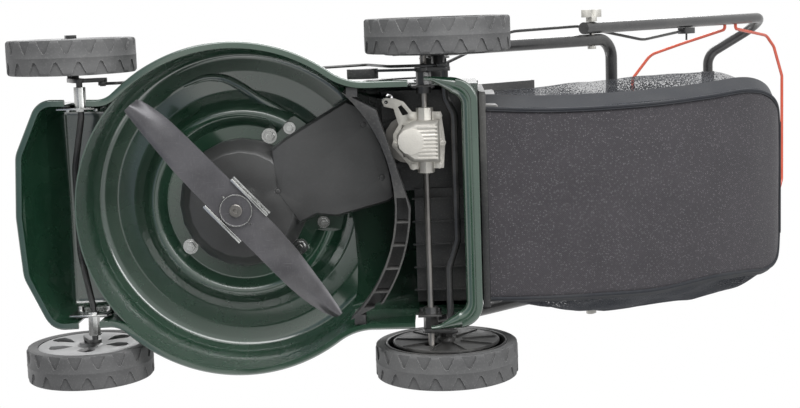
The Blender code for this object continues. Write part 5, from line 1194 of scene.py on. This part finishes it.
def bagWrap():
    # the wrap closes behind in a gathered end
    form = bagSheet("wrap")
    form.verts.ensure_lookup_table()
    last = form.verts[-len(bagLine(bagSection(1.0), "wrap")):]
    middle = Vector(bagSizes["gather"])
    for step, share in enumerate((0.72, 0.40, 0.06)):
        back = Vector((-0.0006 * step, 0, 0))
        ring = [form.verts.new(middle.lerp(vert.co, share) + back) for vert in last]
        near, far = ([(0.62 + 0.03 * (step + a), k * 0.012) for k in range(len(last))] for a in (0, 1))
        clothFaces(form, last, ring, near, far)
        last = ring
    return form


def hemForm(part, end, outward, half, thick):
    # a flat sewn band that follows one long edge of a panel
    rings = []
    for section, line in bagStations(part):
        spot = Vector(line[end])
        inward = (Vector(line[3 if end == 0 else -4]) - spot).normalized()
        normal = Vector((inward.y, -inward.x)) * outward
        corners = ((-0.15, 0), (1, 0), (1, 1), (0.5, 1.5), (-0.15, 1))
        spots = [spot + inward * half * across + normal * (thick * (high - 0.2)) for across, high in corners]
        rings.append([(section["x"], *corner) for corner in spots])
    return stackForm(rings)


def pipingForm():
    # a corded seam along both long edges of the underside and across its rear
    left, right = ([Vector((section["x"], line[end][0], line[end][1] - bagSizes["pipingDrop"]))
                    for section, line in bagStations("under")] for end in (-1, 0))
    rear = bagLine(bagSection(1.0), "under")
    across = [Vector((bagRows[-1][0] - 0.001, y, z)) for y, z in reversed(rear[1:-1])]
    return sweptForm(left + across + right[::-1], bagSizes["piping"], 12)


def mouthBand():
    # the ribbed plastic strip that grips the cloth behind the mouth
    rings = []
    for step, out in ((-2, 0.0004), (-1, 0.0022), (5, 0.0022), (6, 0.0004)):
        section = bagSection(step * bagSizes["bandStep"])
        line = bagLine(section, "wrap")
        ribs = [out + (0.0005 if k % 2 else -0.0002) * (out > 0.001) for k in range(len(line))]
        rings.append([(section["x"], y + normal.x * rib, z + normal.y * rib)
                      for (y, z), normal, rib in zip(line, lineNormals(line), ribs)])
    return stackForm(rings, closed=False)


underForm, wrapForm = bagSheet("under"), bagWrap()
underArea, wrapArea = (sum(face.calc_area() for face in form.faces) for form in (underForm, wrapForm))
bagUnder = placeForm("grass_bag_underside", underForm, "bagCanvas", "grass_bag", 60)
bagWrapPiece = placeForm("grass_bag_wrap", wrapForm, "meshCloth", "grass_bag", 80, replaces=False)
hems = {"piping": (pipingForm(), 60), "hem_left": (hemForm("wrap", 0, -1, 0.040, 0.0010), 40),
        "hem_right": (hemForm("wrap", -1, 1, 0.014, 0.0010), 40)}
bagHems = [placeForm(f"grass_bag_{name}", form, "bagHem", "grass_bag", smooth, replaces=False)
           for name, (form, smooth) in hems.items()]
bagBand = placeForm("grass_bag_mouth_band", mouthBand(), "blackMoulding", "grass_bag", 30, replaces=False)
print("bag made, underside", round(underArea, 4), "and wrap", round(wrapArea, 4), "square metres")

# The blade with its drawn-in, raised ends, and what holds it

bladeSizes = {"low": 0.035, "thick": 0.003, "turn": 47.2, "columns": 14, "steps": 4, "flat": 0.42,
              "ground": 0.0018, "hole": 0.0052, "marks": 0.026}
# place along the blade, leading edge, trailing edge, wing height; the front left end, then the other
bladeRows = {
    1: [(0.0, 0.0240, 0.0240, 0), (0.060, 0.0240, 0.0240, 0), (0.100, 0.0226, 0.0240, 0),
        (0.125, 0.0206, 0.0237, 0.0005), (0.145, 0.0186, 0.0227, 0.0030), (0.165, 0.0166, 0.0205, 0.0065),
        (0.185, 0.0143, 0.0165, 0.0095), (0.197, 0.0128, 0.0128, 0.0115), (0.203, 0.0118, 0.0092, 0.0125)],
    -1: [(0.0, 0.0240, 0.0240, 0), (0.060, 0.0236, 0.0240, 0), (0.100, 0.0205, 0.0243, 0),
         (0.125, 0.0168, 0.0242, 0.0005), (0.145, 0.0136, 0.0234, 0.0030), (0.165, 0.0106, 0.0214, 0.0065),
         (0.185, 0.0068, 0.0176, 0.0095), (0.197, 0.0044, 0.0132, 0.0115), (0.203, 0.0028, 0.0094, 0.0125)],
}


def bladeSpot(place, across, *z):
    # a spot along and across the blade, with its height if one is given
    turn = radians(bladeSizes["turn"])
    return (cos(turn) * place - sin(turn) * across, sin(turn) * place + cos(turn) * across, *z)


def bladeForm():
    b = bladeSizes
    rings = []
    for end in (-1, 1):
        rows = bladeRows[end]
        stations = [[a + (z - a) * k / b["steps"] for a, z in zip(row, after)]
                    for row, after in zip(rows, rows[1:]) for k in range(b["steps"])] + [rows[-1]]
        for place, lead, trail, rise in stations if end > 0 else stations[:0:-1]:
            under, over = [], []
            for k in range(b["columns"] + 1):
                share = k / b["columns"]
                u = (-lead + (lead + trail) * share) * end
                lift = max(0.0, (share - b["flat"]) / (1 - b["flat"]))
                z = b["low"] + rise * lift * lift * (3 - 2 * lift)
                ground = b["ground"] * max(0.0, 1 - share / 0.12) * min(1.0, max(0.0, (place - 0.10) / 0.02))
                under.append(bladeSpot(place * end, u, z + ground))
                over.append(bladeSpot(place * end, u, z + b["thick"]))
            rings.append(under + over[::-1] if end > 0 else under[::-1] + over)
    changes = [("cut", drumForm(b["hole"], 0.02, 0.06))]
    for place in (-b["marks"], b["marks"]):
        corners = ((-0.0022, -0.0022), (0.0026, 0), (-0.0022, 0.0022))
        changes.append(("cut", prismForm([bladeSpot(place + a, b) for a, b in corners], 0.02, 0.06)))
    form = carved(stackForm(rings), changes)
    softenEdges(form, 0.0003, 50, 1)
    return form


placeForm("blade_finish", bladeForm(), "bladeSteel", "blade", 40)

# washer with a bright rolled rim, and the bolt's low head on its shank
washer = [(0, 0.0322), (0.0205, 0.0322), (0.0212, 0.0316), (0.0222, 0.0316), (0.0228, 0.0324),
          (0.0226, 0.0346), (0, 0.0346)]
rim = [(0.0213, 0.0314), (0.0222, 0.0314), (0.0226, 0.0320), (0.0218, 0.0324), (0.0212, 0.0320)]
head = [(0, 0.0300), (0.0030, 0.0298), (0.0036, 0.0288), (0.0078, 0.0288), (0.0088, 0.0298),
        (0.0088, 0.0325), (0, 0.0325)]
headForm = carved(spunForm(head, sides=48), [("join", drumForm(0.0048, 0.031, 0.068, sides=32))])
placeForm("blade_washer", spunForm(washer, sides=72), "bladeSteel", "blade_bolt", 30)
placeForm("blade_washer_rim", spunForm(rim, sides=72), "zinc", "blade_bolt", 30, replaces=False)
placeForm("blade_bolt_head", headForm, "shaftSteel", "blade_bolt", 30, replaces=False)

# the carrier's folded lips show as two bright lines beside the blade
lipTop = 0.0415
for label, side, out in (("left", 1, 0.0316), ("right", -1, 0.0300)):
    ribs = []
    for half, near, far, low, high, soft in (
            (0.035, 0.0245, 0.0264, 0.0338, lipTop, True), (0.035, out - 0.0022, out, 0.0350, lipTop, True),
            (0.0345, 0.0250, out - 0.0004, 0.0390, 0.0412, False)):
        corners = ((-half, near), (half, near), (half, far), (-half, far))
        ribs.append(prismForm([bladeSpot(a, side * b) for a, b in corners][::side], low, high))
        if soft:
            softenEdges(ribs[-1], 0.0005, 40)
    placeForm(f"carrier_lip_{label}", gathered(ribs), "zinc", "blade_carrier", 35, replaces=False)
print("blade made")

# The other pieces are the CAD's own shapes with rounded edges: material, then each node's rounding

plain = {
    "blackMoulding": {"discharge_flap": 0.0004, "grass_duct": 0.0004, "chamber_ring": 0.0003,
                      "engine_cowl": 0.0006,
                      "starter_handle": 0.0012, "fuel_tank": 0.0010, "fuel_cap": 0.0008,
                      "oil_dipstick": 0.0005,
                      "air_filter": 0.0010, "height_knob": 0.0010, "bag_frame": 0.0006},
    "coverMoulding": {"belt_cover": 0.0006},
    "zinc": {"blade_carrier": 0.0004, "cable_spring": 0, "front_clamp_left": 0.0004,
             "front_clamp_right": 0.0004},
    "shaftSteel": {"crankshaft": 0, "drive_shaft": 0.0003, "gearbox_pulley": 0},
    "castAlloy": {"engine_block": 0.0005, "carburettor": 0.0006, "gearbox": 0.0004},
    "bladeSteel": {"muffler": 0.0010},
    "redCoat": {"primer_bulb": 0},
    "whiteGlaze": {"spark_plug": 0.0004},
    "softRubber": {"plug_boot": 0, "drive_belt": 0.0003},
    "blackPaint": {"front_axle": 0.0004, "rear_adjuster": 0.0004, "link_rod": 0.0003,
                   "axle_bearing_left": 0.0004,
                   "axle_bearing_right": 0.0004, "handle_bracket_left": 0.0004,
                   "handle_bracket_right": 0.0004},
    "greyMoulding": {"handle_knob_left": 0.0010, "handle_knob_right": 0.0010},
}
for material, group in plain.items():
    for node, width in group.items():
        softened(node, material, width)
print("refined copies made:", sum(len(group) for group in plain.values()))
